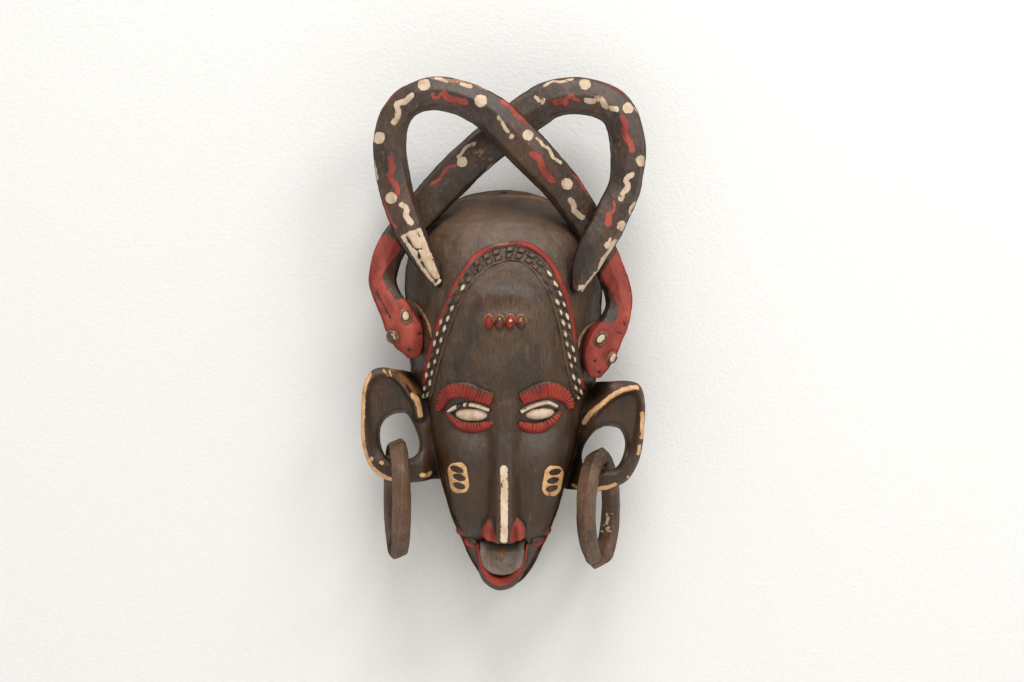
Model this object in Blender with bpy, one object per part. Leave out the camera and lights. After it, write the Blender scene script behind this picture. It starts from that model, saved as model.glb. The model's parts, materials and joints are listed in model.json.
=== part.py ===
"""Carved wooden wall mask: hollow face, two crossed serpents, pierced ears, loose ear rings.

Frame: the wall is the plane y = 0 and the face looks along -Y. +Z is up and +X is to the
right of someone looking at the mask. The origin is on the flat back rim, at its top.
Lengths below are in millimetres; the meshes are written in metres. "Depth" is -y.
"""

import math

import bmesh
import bpy
import numpy as np

MM = 0.001
GLUE_GAP = 0.3

# Skull and face shell
SKULL_TOP = 4.0
SKULL_BOTTOM = -345.0
SKULL_MIDDLE = (SKULL_TOP + SKULL_BOTTOM) / 2
SKULL_HALF_HEIGHT = (SKULL_TOP - SKULL_BOTTOM) / 2
WALL = 12.0
# Height, width scale of the outline, depth scale of the front
WIDTH_LEVELS = (-345, -307, -283, -247, -200, -165, -150, -100, -60, -30, -10, 4)
WIDTH_SCALES = (57, 56, 59, 62.4, 73, 81, 82.5, 94, 110, 126, 135, 140)
DEPTH_LEVELS = (-345, -250, -180, -100, 4)
DEPTH_SCALES = (100, 96, 90, 92, 92)
# The front is a dome whose section goes from round at the top to box-like at the chin
DOME_POWER = 2.5
CHIN_POWER = 8.0
CHIN_LEVEL = -0.7
DOME_EDGE = 0.45
RIM_POWER = 12
# Swellings and hollows of the face: height, then half-width and sharpness across, then level and
# half-height. Sockets and cheeks come in pairs, at a distance from the middle.
FOREHEAD = (20.0, 44.0, 4, -118.0, 48.0)
MOUTH = (14.0, 27.0, 4, -306.0, 12.0)
SOCKETS = (8.0, 28.0, 22.0, -197.0, 13.0)
CHEEKS = (4.0, 36.0, 16.0, -245.0, 28.0)
BLOCK_BACK = -5.0
MEAN_HALF_WIDTH = 60.0
MEAN_DEPTH = 80.0
SHELL_ANGLES = 60
SHELL_RINGS = 24
HOLLOW_RINGS = 10

# Hanging hole through the top of the skull
HOLE_RADIUS = 3.0
HOLE_DEPTH = 21.0
HOLE_ENDS = (12.0, -20.0)

# Face features: centre lines are (x, z) or (x, depth, z)
HAIR_BAND = ((-64, -173), (-60, -154), (-54, -132), (-47, -110), (-38, -90), (-28, -74), (-15, -62),
             (2, -56), (18, -58), (29, -66), (39, -80), (46, -94), (51, -111), (55, -132),
             (59, -154), (62, -173))
HAIR_BAND_HALF_WIDTH = 5.5
HAIR_BAND_LIFT = 4.0
SCARS = (-13.0, -3.2, 5.6, 15.2)
SCAR_LEVEL = -112.5
SCAR_RADII = (4.4, 4.5, 5.8)
BROWS = (((-54, -186), (-50, -176), (-37, -171.5), (-21, -174.5), (-8, -177)),
         ((55, -186), (51, -176), (38, -171), (24, -174), (13.5, -177)))
BROW_HALF_WIDTH = 6.5
BROW_LIFT = 5.0
# Section of a raised strip: place across it, and height above (shares of the lift) or below the face
STRIP_SECTION = ((-1.0, -7.0), (-1.0, 0.5), (-0.6, 1.0), (0.6, 1.0), (1.0, 0.5), (1.0, -7.0))
LIDS = (((-48, -192), (-40, -200), (-29, -203), (-16, -201), (-8, -197)),
        ((49, -190), (41, -199), (27, -203), (18, -201.5), (12, -197)))
LID_HALF_WIDTH = 4.0
EYES = ((-27.5, -190.5), (31.0, -190.0))
EYE_RADII = (13.0, 6.0, 4.2)
EYE_LIFT = 1.0
CHEEK_MARKS = ((-37.3, -244.5, 0.12), (41.7, -247.0, -0.12))
CHEEK_MARK_RADII = (8.8, 4.0, 14.5)
CHEEK_MARK_SINK = 1.0
# Nose sections: height, half-width at the ridge, half-width at the cheek, ridge depth
NOSE_SECTIONS = ((-188, 7, 10, 95), (-235, 7.5, 12, 104), (-284, 8, 14, 116), (-297, 7, 13, 117))
NOSE_ROOT = 70.0
NOSE_SHOULDER = 9.0
NOSE_ROUNDING = 1.5
NOSE_TOP_DEPTH = 85.0
NOSE_BASE_DEPTH = 95.0
NOSTRILS = (-13.0, 13.0)
NOSTRIL_LEVEL = -287.5
NOSTRIL_DEPTH = 103.0
NOSTRIL_RADII = (6.5, 9.0, 10.0)
# Bumps of the upper lip: x, depth, z and radius
LIP_BUMP_FLATNESS = (1.1, 1.0, 0.8)
LIP_BUMPS = ((-35, 73, -295, 6), (-26, 82, -303, 6.5), (26, 82, -302, 6.5), (35, 73, -295, 6))
LOWER_LIP = ((-24, 86, -302), (-21.5, 87, -314), (-15, 85, -326), (-2, 82, -334),
             (11, 85, -326), (19.5, 87, -314), (23, 86, -302))
LOWER_LIP_RADII = (4.5, 6.0)
TONGUE_CENTRE = (-1.0, 89.0, -305.0)
TONGUE_RADII = (19.5, 12.0, 23.0)

# Serpents, tail first: x, depth, z, half-width across the face, half-thickness in depth
SERPENT_FRONT = ((-55, 71, -81, 3.5, 4), (-62.5, 70, -67, 8.5, 8), (-74, 69, -47, 12, 10.5),
                 (-83, 67, -27, 14, 12), (-91, 63, -4, 15, 13.5), (-96.5, 60, 22, 15, 14),
                 (-97.5, 60, 43, 14.5, 14), (-92, 62, 64, 14, 14), (-79, 64, 77, 14, 14),
                 (-57, 67, 82.5, 15, 14.5), (-33.5, 71, 77, 15.7, 15), (-12, 75, 65.5, 17, 15),
                 (4, 76, 51, 18, 15), (27, 72, 28, 18, 15), (46.5, 60, 8, 16.7, 14),
                 (62.5, 50, -12, 15.8, 13), (76.5, 44, -35, 14.5, 12), (88.5, 43, -59, 13.3, 12),
                 (97, 44, -80, 12.5, 12), (99.5, 49, -98, 12, 12), (95, 54, -113, 13, 13),
                 (87, 57, -127, 15.5, 14), (81, 58, -141, 15, 12), (79, 58, -152, 11, 9),
                 (78.5, 58, -160, 5, 4.5))
SERPENT_REAR = ((62.5, 69, -86, 5, 5), (68, 69, -70, 11, 8.5), (76.5, 69, -51, 14.3, 11),
                (88.5, 66, -30, 15.3, 12), (97, 62, -12, 15, 13), (103, 59, 2, 14.8, 14),
                (106, 58, 18, 15, 14.5), (107, 57, 35, 15.7, 14.5), (104, 56, 52, 15.5, 14.5),
                (97.5, 54, 68, 15.8, 14.5), (83, 52, 78, 16, 14.5), (61, 50, 82, 16.5, 15),
                (41, 48, 79, 17, 15), (27, 46, 71, 17.5, 15), (5, 44, 55, 17.5, 15),
                (-11, 44, 42, 17.3, 15), (-31, 44, 25, 17.3, 15), (-49, 43, 7.5, 17, 14.5),
                (-68, 41, -13, 16, 13.5), (-83, 39, -31, 14.5, 12), (-94, 39, -44, 13.5, 12),
                (-101, 40, -59, 13, 12), (-104, 44, -77, 12.5, 12), (-99, 50, -93, 12.5, 12),
                (-90.5, 55, -107, 15, 14), (-84, 57, -121, 16.3, 13), (-79, 57, -133, 12.5, 10),
                (-77, 57, -143, 5, 4.5))
SERPENT_SIDES = 12
SPINE_STEPS = 2
TIP_LENGTH = 0.3
EYE_FLATNESS = 0.6
# Serpent eyes: x, depth, z and radius
FRONT_EYES = ((84, 70, -126.4, 6.5), (94.5, 62, -143, 6))
REAR_EYES = ((-84, 69, -107.5, 6), (-97.5, 60, -123.5, 6))

# Ears: outlines are (x, z), cut away where they reach into the skull
EAR_FRONT = 69.0
EAR_BACK = 51.0
EAR_CHAMFER = 4.5
EAR_LEFT = ((-62, -163), (-80, -156), (-91, -153.5), (-104, -151.5), (-113.5, -155), (-119.5, -166),
            (-121.5, -181), (-122, -205), (-120, -222), (-114, -237), (-104, -246), (-94, -249),
            (-80, -250), (-63, -248), (-50, -244), (-48, -205))
EAR_LEFT_HOLE = ((-88.5, -190.5), (-82.5, -191.5), (-76, -203), (-72, -216), (-74, -225.5),
                 (-81, -229.8), (-91, -230.2), (-99.5, -229), (-104.5, -219), (-105.5, -206),
                 (-102, -197), (-95, -192))
EAR_RIGHT = ((62, -172), (79, -165), (92, -163.5), (104, -163), (115, -165.5), (120, -174.5),
             (121.2, -190), (119.5, -214), (116, -231), (109, -244.5), (101, -251.5), (85, -257),
             (66, -257), (50, -253), (50, -210))
EAR_RIGHT_HOLE = ((86, -202), (77.5, -207), (70, -218), (67.5, -228), (70, -237.2), (79, -238.6),
                  (88, -238.8), (96, -237.4), (101.5, -229), (104, -216), (100, -205), (92, -202))

# Rings: a chamfered section swept round a circle that hangs from the ear bar
RING_OUTER_RADIUS = 52.5
RING_INNER_RADIUS = 36.0
RING_HALF_THICKNESS = 8.2
RING_CHAMFER = 4.0
RING_STEPS = 40
BAR_CLEARANCE_RADIUS = 11.3
BAR_DEPTH = 60.0
# Bar centre: x, z, and the turn of the ring about the vertical in degrees
RING_LEFT_BAR = (-91.0, -239.4, 8.0)
RING_RIGHT_BAR = (81.5, -247.3, -16.5)

MATERIAL_COLOURS = {
    "dark_patinated_wood": (0.055, 0.04, 0.032, 1.0),
    "red_black_painted_wood": (0.09, 0.03, 0.024, 1.0),
    "brown_ring_wood": (0.14, 0.09, 0.06, 1.0),
}


def clear_scene():
    for obj in list(bpy.data.objects):
        bpy.data.objects.remove(obj)


def wood_material(name):
    material = bpy.data.materials.get(name) or bpy.data.materials.new(name)
    material.use_nodes = True
    shader = material.node_tree.nodes["Principled BSDF"]
    shader.inputs["Base Color"].default_value = MATERIAL_COLOURS[name]
    shader.inputs["Roughness"].default_value = 0.55
    return material


def solid(name, points, faces):
    """Make an object from points given as (x, depth, z) in millimetres, faces turned outward."""
    mesh = bpy.data.meshes.new(name)
    corners = [(x * MM, -depth * MM, z * MM) for x, depth, z in points]
    mesh.from_pydata(corners, [], faces)
    shape = bmesh.new()
    shape.from_mesh(mesh)
    bmesh.ops.recalc_face_normals(shape, faces=shape.faces)
    shape.to_mesh(mesh)
    shape.free()
    obj = bpy.data.objects.new(name, mesh)
    bpy.context.scene.collection.objects.link(obj)
    return obj


def combine(target, other, operation):
    """Join or cut `target` with `other`, then remove `other`."""
    modifier = target.modifiers.new(operation.title(), "BOOLEAN")
    modifier.operation = operation
    modifier.solver = "EXACT"
    modifier.object = other
    evaluated = target.evaluated_get(bpy.context.evaluated_depsgraph_get())
    mesh = bpy.data.meshes.new_from_object(evaluated)
    target.modifiers.clear()
    target.data = mesh
    bpy.data.objects.remove(other)


def finish(obj, material_name, sharp_angle):
    """Give a node its material and shade it smooth, except at edges above the sharp angle."""
    obj.data.materials.clear()
    obj.data.materials.append(wood_material(material_name))
    shape = bmesh.new()
    shape.from_mesh(obj.data)
    for face in shape.faces:
        face.smooth = True
    for edge in shape.edges:
        edge.smooth = edge.calc_face_angle(0.0) < math.radians(sharp_angle)
    shape.to_mesh(obj.data)
    shape.free()


def smooth_curve(points, steps):
    """Catmull-Rom curve through the points, with `steps` stations per span."""
    knots = np.array(points, dtype=float)
    before = 2 * knots[0] - knots[1]
    after = 2 * knots[-1] - knots[-2]
    knots = np.vstack([before, knots, after])
    stations = []
    for i in range(1, len(knots) - 2):
        a, b, c, d = knots[i - 1:i + 3]
        for t in np.arange(steps) / steps:
            stations.append(0.5 * (2 * b + (c - a) * t + (2 * a - 5 * b + 4 * c - d) * t**2
                                   + (3 * b - a - 3 * c + d) * t**3))
    stations.append(knots[-2])
    return np.array(stations)


def bump(distance, radius, power=2):
    return np.exp(-np.abs(distance / radius) ** power)


def dome_power(level):
    """Roundness of the front: a round dome at the top, a box-like shape at the chin."""
    t = np.clip(level / CHIN_LEVEL, 0, 1)
    return DOME_POWER + (CHIN_POWER - DOME_POWER) * t * t * (3 - 2 * t)


def middle_swelling(x, z, shape):
    height, half_width, sharpness, level, half_height = shape
    return height * bump(x, half_width, sharpness) * bump(z - level, half_height, sharpness)


def paired_swelling(x, z, shape):
    height, distance, half_width, level, half_height = shape
    return height * bump(abs(x) - distance, half_width) * bump(z - level, half_height)


def face_depth(x, z):
    """Depth of the front surface of the shell at a point of the face."""
    level = (z - SKULL_MIDDLE) / SKULL_HALF_HEIGHT
    across = x / np.interp(z, WIDTH_LEVELS, WIDTH_SCALES)
    radius = np.minimum(np.hypot(level, across), 1.0)
    dome = (1 - radius**dome_power(level)) ** DOME_EDGE
    relief = middle_swelling(x, z, FOREHEAD) + paired_swelling(x, z, CHEEKS)
    relief -= paired_swelling(x, z, SOCKETS) + middle_swelling(x, z, MOUTH)
    return np.interp(z, DEPTH_LEVELS, DEPTH_SCALES) * dome + relief * (1 - radius**RIM_POWER)


def disc_position(angle, radius):
    """Point of the face at a polar position, where radius 1 is the outline."""
    z = SKULL_MIDDLE + SKULL_HALF_HEIGHT * math.sin(angle) * radius
    x = np.interp(z, WIDTH_LEVELS, WIDTH_SCALES) * math.cos(angle) * radius
    return x, z


def skull_front(grow=0.0):
    """Rings of points over the front surface, from the centre of the face to the outline."""
    rings = []
    scale = 1 + grow / MEAN_HALF_WIDTH
    for i in range(1, SHELL_RINGS + 1):
        radius = math.sin(0.5 * math.pi * i / SHELL_RINGS)
        ring = []
        for j in range(SHELL_ANGLES):
            angle = 2 * math.pi * (j + 0.5) / SHELL_ANGLES
            x, z = disc_position(angle, radius)
            depth = 0.0 if i == SHELL_RINGS else float(face_depth(x, z))
            ring.append((x * scale, depth + grow, SKULL_MIDDLE + (z - SKULL_MIDDLE) * scale))
        rings.append(ring)
    return rings


def skull_hollow():
    """Rings of points over the hollow back, from its rim to the deepest point."""
    rings = []
    along = 1 - WALL / SKULL_HALF_HEIGHT
    for i in range(HOLLOW_RINGS, 0, -1):
        radius = math.sin(0.5 * math.pi * i / HOLLOW_RINGS)
        ring = []
        for j in range(SHELL_ANGLES):
            angle = 2 * math.pi * (j + 0.5) / SHELL_ANGLES
            x, z = disc_position(angle, radius)
            across = 1 - WALL / np.interp(z, WIDTH_LEVELS, WIDTH_SCALES)
            depth = 0.0 if i == HOLLOW_RINGS else hollow_depth(x, z)
            ring.append((x * across, depth, SKULL_MIDDLE + (z - SKULL_MIDDLE) * along))
        rings.append(ring)
    return rings


def hollow_depth(x, z):
    return float(face_depth(x, z)) * (1 - WALL / MEAN_DEPTH)


def bridge_rings(rings, first_pole, last_pole):
    """Points and faces of a closed skin over rings of equal size, closed by two poles."""
    size = len(rings[0])
    points = [point for ring in rings for point in ring]
    faces = []
    for i in range(len(rings) - 1):
        for j in range(size):
            k = (j + 1) % size
            faces.append((i * size + j, i * size + k, (i + 1) * size + k, (i + 1) * size + j))
    for pole, ring in ((first_pole, 0), (last_pole, len(rings) - 1)):
        points.append(pole)
        for j in range(size):
            k = (j + 1) % size
            faces.append((ring * size + j, ring * size + k, len(points) - 1))
    return points, faces


def skull_block(grow):
    """The skull as a full solid, without its hollow, enlarged by a gap."""
    rings = skull_front(grow)
    behind = [(x, BLOCK_BACK, z) for x, depth, z in rings[-1]]
    front_pole = (0, float(face_depth(0, SKULL_MIDDLE)) + grow, SKULL_MIDDLE)
    points, faces = bridge_rings(rings + [behind], front_pole, (0, BLOCK_BACK, SKULL_MIDDLE))
    return solid("skull_block", points, faces)


def hollow_skull():
    front = skull_front()
    hollow = skull_hollow()
    points, faces = bridge_rings(front + hollow,
                                 (0, float(face_depth(0, SKULL_MIDDLE)), SKULL_MIDDLE),
                                 (0, hollow_depth(0, SKULL_MIDDLE), SKULL_MIDDLE))
    return solid("mask_shell", points, faces)


def ellipsoid(centre, radii, lean=0.0, sides=12, levels=6):
    """Ellipsoid with radii in x, depth and z, leaning sideways by an angle in radians."""
    rings = []
    for i in range(1, levels):
        tilt = math.pi * i / levels
        ring = []
        for j in range(sides):
            turn = 2 * math.pi * (j + 0.25) / sides
            x = radii[0] * math.sin(tilt) * math.cos(turn)
            z = radii[2] * math.sin(tilt) * math.sin(turn)
            depth = radii[1] * math.cos(tilt)
            ring.append((centre[0] + x * math.cos(lean) + z * math.sin(lean), centre[1] + depth,
                         centre[2] - x * math.sin(lean) + z * math.cos(lean)))
        rings.append(ring)
    front = (centre[0], centre[1] + radii[1], centre[2])
    back = (centre[0], centre[1] - radii[1], centre[2])
    return solid("ellipsoid", *bridge_rings(rings, front, back))


def tube(spine, sides, grow=0.0):
    """Tube along stations (x, depth, z, half-width, half-thickness), closed at both ends."""
    rings = []
    for i, station in enumerate(spine):
        ahead = spine[min(i + 1, len(spine) - 1)][:3]
        behind = spine[max(i - 1, 0)][:3]
        along = (ahead - behind) / np.linalg.norm(ahead - behind)
        across = np.cross(along, (0, 1, 0))
        across /= np.linalg.norm(across)
        outward = np.cross(across, along)
        ring = []
        for j in range(sides):
            turn = 2 * math.pi * (j + 0.5) / sides
            side = (station[3] + grow) * math.cos(turn) * across
            front = (station[4] + grow) * math.sin(turn) * outward
            ring.append(tuple(station[:3] + side + front))
        rings.append(ring)
    first = spine[0][:3] + (spine[0][:3] - spine[1][:3]) * TIP_LENGTH
    last = spine[-1][:3] + (spine[-1][:3] - spine[-2][:3]) * TIP_LENGTH
    return solid("tube", *bridge_rings(rings, tuple(first), tuple(last)))


def strip_on_face(line, half_width, lift, grow=0.0):
    """Raised strip that follows the face along a line of (x, z) points."""
    curve = smooth_curve(line, 2)
    half_width = half_width + grow
    lift = lift + grow
    rings = []
    for i, (x, z) in enumerate(curve):
        ahead = curve[min(i + 1, len(curve) - 1)]
        behind = curve[max(i - 1, 0)]
        along = (ahead - behind) / np.linalg.norm(ahead - behind)
        surface = float(face_depth(x, z))
        ring = []
        for side, height in STRIP_SECTION:
            px = x + along[1] * half_width * side
            pz = z - along[0] * half_width * side
            ring.append((px, surface + (lift * height if height > 0 else height), pz))
        rings.append(ring)
    middles = [np.mean(ring, axis=0) for ring in rings]
    first = middles[0] + (middles[0] - middles[1]) * (1 + grow)
    last = middles[-1] + (middles[-1] - middles[-2]) * (1 + grow)
    return solid("strip", *bridge_rings(rings, tuple(first), tuple(last)))


def face_strips(grow=0.0):
    """The hair band, the brows and the lower lids."""
    strips = [strip_on_face(HAIR_BAND, HAIR_BAND_HALF_WIDTH, HAIR_BAND_LIFT, grow)]
    for line in BROWS:
        strips.append(strip_on_face(line, BROW_HALF_WIDTH, BROW_LIFT, grow))
    for line in LIDS:
        strips.append(strip_on_face(line, LID_HALF_WIDTH, BROW_LIFT, grow))
    return strips


def cut_clear_of_face(obj):
    """Leave the glue-line gap between a piece and the face it sits against."""
    combine(obj, skull_block(GLUE_GAP), "DIFFERENCE")
    for strip in face_strips(GLUE_GAP):
        combine(obj, strip, "DIFFERENCE")


def nose_solid():
    rings = []
    for z, ridge, root, depth in NOSE_SECTIONS:
        shoulder = depth - NOSE_SHOULDER
        edge = depth - NOSE_ROUNDING
        rings.append([(-root, NOSE_ROOT, z), (-root, shoulder, z), (-ridge, edge, z),
                      (-ridge * 0.5, depth, z), (ridge * 0.5, depth, z), (ridge, edge, z),
                      (root, shoulder, z), (root, NOSE_ROOT, z)])
    top = (0, NOSE_TOP_DEPTH, NOSE_SECTIONS[0][0] + 1)
    base = (0, NOSE_BASE_DEPTH, NOSE_SECTIONS[-1][0] - 1)
    return solid("nose", *bridge_rings(rings, top, base))


def add_eyes_and_scars(shell):
    for x in SCARS:
        centre = (x, float(face_depth(x, SCAR_LEVEL)), SCAR_LEVEL)
        combine(shell, ellipsoid(centre, SCAR_RADII, sides=8), "UNION")
    for x, z in EYES:
        centre = (x, float(face_depth(x, z)) + EYE_LIFT, z)
        combine(shell, ellipsoid(centre, EYE_RADII), "UNION")
    for x, z, lean in CHEEK_MARKS:
        centre = (x, float(face_depth(x, z)) - CHEEK_MARK_SINK, z)
        combine(shell, ellipsoid(centre, CHEEK_MARK_RADII, lean), "UNION")


def add_nose_and_mouth(shell):
    combine(shell, nose_solid(), "UNION")
    for x in NOSTRILS:
        combine(shell, ellipsoid((x, NOSTRIL_DEPTH, NOSTRIL_LEVEL), NOSTRIL_RADII), "UNION")
    for x, depth, z, radius in LIP_BUMPS:
        radii = tuple(radius * share for share in LIP_BUMP_FLATNESS)
        combine(shell, ellipsoid((x, depth, z), radii, sides=10), "UNION")
    lip_half_width, lip_half_thickness = LOWER_LIP_RADII
    stations = [(x, depth, z, lip_half_width, lip_half_thickness) for x, depth, z in LOWER_LIP]
    combine(shell, tube(smooth_curve(stations, 3), 8), "UNION")
    combine(shell, ellipsoid(TONGUE_CENTRE, TONGUE_RADII, sides=16, levels=8), "UNION")


def make_mask_shell():
    shell = hollow_skull()
    for strip in face_strips():
        combine(shell, strip, "UNION")
    add_eyes_and_scars(shell)
    add_nose_and_mouth(shell)
    hole_line = [(0, HOLE_DEPTH, z, HOLE_RADIUS, HOLE_RADIUS) for z in HOLE_ENDS]
    combine(shell, tube(np.array(hole_line), 16), "DIFFERENCE")
    finish(shell, "dark_patinated_wood", 40)
    return shell


def make_serpent(name, spine, eyes):
    serpent = tube(smooth_curve(spine, SPINE_STEPS), SERPENT_SIDES)
    serpent.name = name
    for x, depth, z, radius in eyes:
        combine(serpent, ellipsoid((x, depth, z), (radius, radius * EYE_FLATNESS, radius), sides=10),
                "UNION")
    cut_clear_of_face(serpent)
    return serpent


def make_serpents():
    front = make_serpent("serpent_front", SERPENT_FRONT, FRONT_EYES)
    rear = make_serpent("serpent_rear", SERPENT_REAR, REAR_EYES)
    cutter = tube(smooth_curve(SERPENT_FRONT, SPINE_STEPS), SERPENT_SIDES, GLUE_GAP)
    combine(rear, cutter, "DIFFERENCE")
    finish(front, "red_black_painted_wood", 50)
    finish(rear, "red_black_painted_wood", 50)


def plate(outline, steps, front, back, inset):
    """Plate between two depths with a smooth outline; `inset` chamfers its two faces."""
    curve = smooth_curve(tuple(outline) + (outline[0],), steps)[:-1]
    middle = curve.mean(axis=0)
    along = np.roll(curve, -1, axis=0) - np.roll(curve, 1, axis=0)
    normal = np.stack([along[:, 1], -along[:, 0]], axis=1)
    normal /= np.linalg.norm(normal, axis=1)[:, None]
    outward = np.sign(np.sum(normal * (curve - middle)))
    normal *= outward
    levels = ((back, inset), (back + abs(inset), 0.0), (front - abs(inset), 0.0), (front, inset))
    rings = []
    for depth, step in levels:
        rings.append([(x - nx * step, depth, z - nz * step)
                      for (x, z), (nx, nz) in zip(curve, normal)])
    points = [point for ring in rings for point in ring]
    size = len(curve)
    faces = [tuple(range(size)), tuple(range(3 * size, 4 * size))]
    for i in range(3):
        for j in range(size):
            k = (j + 1) % size
            faces.append((i * size + j, i * size + k, (i + 1) * size + k, (i + 1) * size + j))
    return solid("plate", points, faces)


def make_ear(name, outline, hole):
    ear = plate(outline, 2, EAR_FRONT, EAR_BACK, EAR_CHAMFER)
    ear.name = name
    combine(ear, plate(hole, 2, EAR_FRONT, EAR_BACK, -EAR_CHAMFER), "DIFFERENCE")
    cut_clear_of_face(ear)
    finish(ear, "dark_patinated_wood", 40)


def make_ring(name, bar):
    """Ring whose origin is on the ear bar, turned about the vertical and hanging from it."""
    x, z, turn_degrees = bar
    middle = (RING_OUTER_RADIUS + RING_INNER_RADIUS) / 2
    half_radial = (RING_OUTER_RADIUS - RING_INNER_RADIUS) / 2
    flat_radial = half_radial - RING_CHAMFER
    flat_axial = RING_HALF_THICKNESS - RING_CHAMFER
    section = ((half_radial, flat_axial), (flat_radial, RING_HALF_THICKNESS),
               (-flat_radial, RING_HALF_THICKNESS), (-half_radial, flat_axial))
    section += tuple((radial, -axial) for radial, axial in reversed(section))
    drop = RING_INNER_RADIUS - BAR_CLEARANCE_RADIUS
    points = []
    for i in range(RING_STEPS):
        angle = 2 * math.pi * (i + 0.5) / RING_STEPS
        for radial, axial in section:
            reach = middle + radial
            points.append((axial, reach * math.sin(angle), reach * math.cos(angle) - drop))
    size = len(section)
    faces = []
    for i in range(RING_STEPS):
        for j in range(size):
            k = (j + 1) % size
            after = (i + 1) % RING_STEPS
            faces.append((i * size + j, i * size + k, after * size + k, after * size + j))
    ring = solid(name, points, faces)
    turn = math.radians(turn_degrees)
    for vertex in ring.data.vertices:
        across, forward = vertex.co.x, vertex.co.y
        vertex.co.x = across * math.cos(turn) - forward * math.sin(turn)
        vertex.co.y = across * math.sin(turn) + forward * math.cos(turn)
    ring.location = (x * MM, -BAR_DEPTH * MM, z * MM)
    finish(ring, "brown_ring_wood", 30)


def build():
    clear_scene()
    make_mask_shell()
    make_serpents()
    make_ear("ear_left", EAR_LEFT, EAR_LEFT_HOLE)
    make_ear("ear_right", EAR_RIGHT, EAR_RIGHT_HOLE)
    make_ring("ring_left", RING_LEFT_BAR)
    make_ring("ring_right", RING_RIGHT_BAR)


build()
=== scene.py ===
"""Looks of the carved wooden mask: fine meshes and procedural wood and paint round the CAD frame.

Shapes are worked out in millimetres as (x, depth, z), where depth is -y, and written in metres.
Painted marks are stored on the vertices as signed distances in millimetres, positive inside the
mark, so that the shader can give them brushed and chipped edges.
"""

import json
import math

import bmesh
import bpy
import numpy as np
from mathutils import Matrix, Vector


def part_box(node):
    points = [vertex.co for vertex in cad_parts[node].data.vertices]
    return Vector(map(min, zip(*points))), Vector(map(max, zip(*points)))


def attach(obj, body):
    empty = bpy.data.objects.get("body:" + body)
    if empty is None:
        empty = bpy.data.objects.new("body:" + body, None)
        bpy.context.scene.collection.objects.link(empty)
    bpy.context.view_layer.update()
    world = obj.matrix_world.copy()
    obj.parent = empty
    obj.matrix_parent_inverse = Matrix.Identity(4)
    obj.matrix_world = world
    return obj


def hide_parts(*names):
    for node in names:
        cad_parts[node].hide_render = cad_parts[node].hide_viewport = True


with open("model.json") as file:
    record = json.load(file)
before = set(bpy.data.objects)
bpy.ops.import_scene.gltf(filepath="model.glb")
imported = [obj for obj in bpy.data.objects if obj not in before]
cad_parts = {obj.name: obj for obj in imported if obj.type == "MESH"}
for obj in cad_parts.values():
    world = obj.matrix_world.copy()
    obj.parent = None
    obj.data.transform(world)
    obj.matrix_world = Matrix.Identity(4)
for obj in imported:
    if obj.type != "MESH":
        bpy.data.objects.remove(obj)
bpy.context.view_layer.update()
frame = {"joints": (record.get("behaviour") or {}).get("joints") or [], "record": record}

MM = 0.001
# The fourth paint holds real dark cracks and also painted shade in holes, nostrils and under the nose
PAINTS = ("red", "cream", "bare", "soot_and_shade")
FAR = 9.0
CURVE_STEPS = 12

# The skull and face, as in the CAD frame
SHELL_LOW, SHELL_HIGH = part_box("mask_shell")
SKULL_TOP = SHELL_HIGH.z / MM
SKULL_BOTTOM = SHELL_LOW.z / MM
SKULL_MIDDLE = (SKULL_TOP + SKULL_BOTTOM) / 2
SKULL_HALF_HEIGHT = (SKULL_TOP - SKULL_BOTTOM) / 2
WALL = 12.0
SKULL_DEPTH = 80.0
CLEAR_OF_WALL = 2.0
WIDTH_LEVELS = (-345, -307, -283, -247, -200, -165, -150, -100, -60, -30, -10, 4)
WIDTH_SCALES = (57, 56, 59, 62.4, 73, 81, 82.5, 94, 110, 126, 135, 140)
DEPTH_LEVELS = (-345, -250, -180, -100, 4)
DEPTH_SCALES = (100, 96, 90, 92, 92)
DOME_POWER = 2.5
CHIN_POWER = 8.0
NOSE_X = 0.8
FOREHEAD_GROOVE = 2.4
BAND_LINE = ((-65.5, -178, 3.2), (-64, -172, 4.2), (-60.5, -154, 4.8), (-54.5, -132.5, 5.3),
             (-47.3, -110, 5.5), (-38.8, -91, 5.7), (-28.5, -74.5, 6), (-15.5, -62.3, 6.2),
             (-2, -56.3, 6.3), (8, -55, 6.3), (18, -57.3, 6.3), (28.5, -65.5, 6.1),
             (38.5, -79.8, 5.8), (45.3, -94.2, 5.5), (50.6, -111.5, 5.3), (54.3, -132.5, 5),
             (58.6, -153.7, 4.8), (62.3, -172, 4.2), (63.5, -178, 3.2))
NOSE_LEVELS = (-300, -296, -285, -235, -205, -190, -172)
NOSE_DEPTHS = (114, 117, 116, 104, 97, 95, 97)
WING_X = 12.0
WING_Z = -286.8
WING_HALF = (6.4, 10.2)
HOLE_DEPTH = 23.0
HOLE_RADIUS = 3.2
HOLE_SINK = 6.0


# ---------------------------------------------------------------- numbers and noise

def stack(*columns):
    """Values side by side along a new last axis."""
    return np.stack(columns, axis=-1)


def smoothstep(low, high, value):
    """0 below low, 1 above high, smooth between; falls instead when low is above high."""
    t = np.clip((value - low) / (high - low), 0, 1)
    return t * t * (3 - 2 * t)


def bump(distance, radius, power=2):
    """1 at no distance, dying away past the radius; a higher power gives a flatter top."""
    return np.exp(-np.abs(distance / radius) ** power)


def lattice(ix, iy, iz, seed):
    """Repeatable value from -1 to 1 at each whole-number point."""
    h = (ix * 374761393 + iy * 668265263 + iz * 1274126177 + seed * 974634777) & 0xFFFFFFFF
    h = ((h ^ (h >> 13)) * 1103515245) & 0xFFFFFFFF
    return ((h ^ (h >> 16)) & 0xFFFF) / 32767.5 - 1.0


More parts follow.
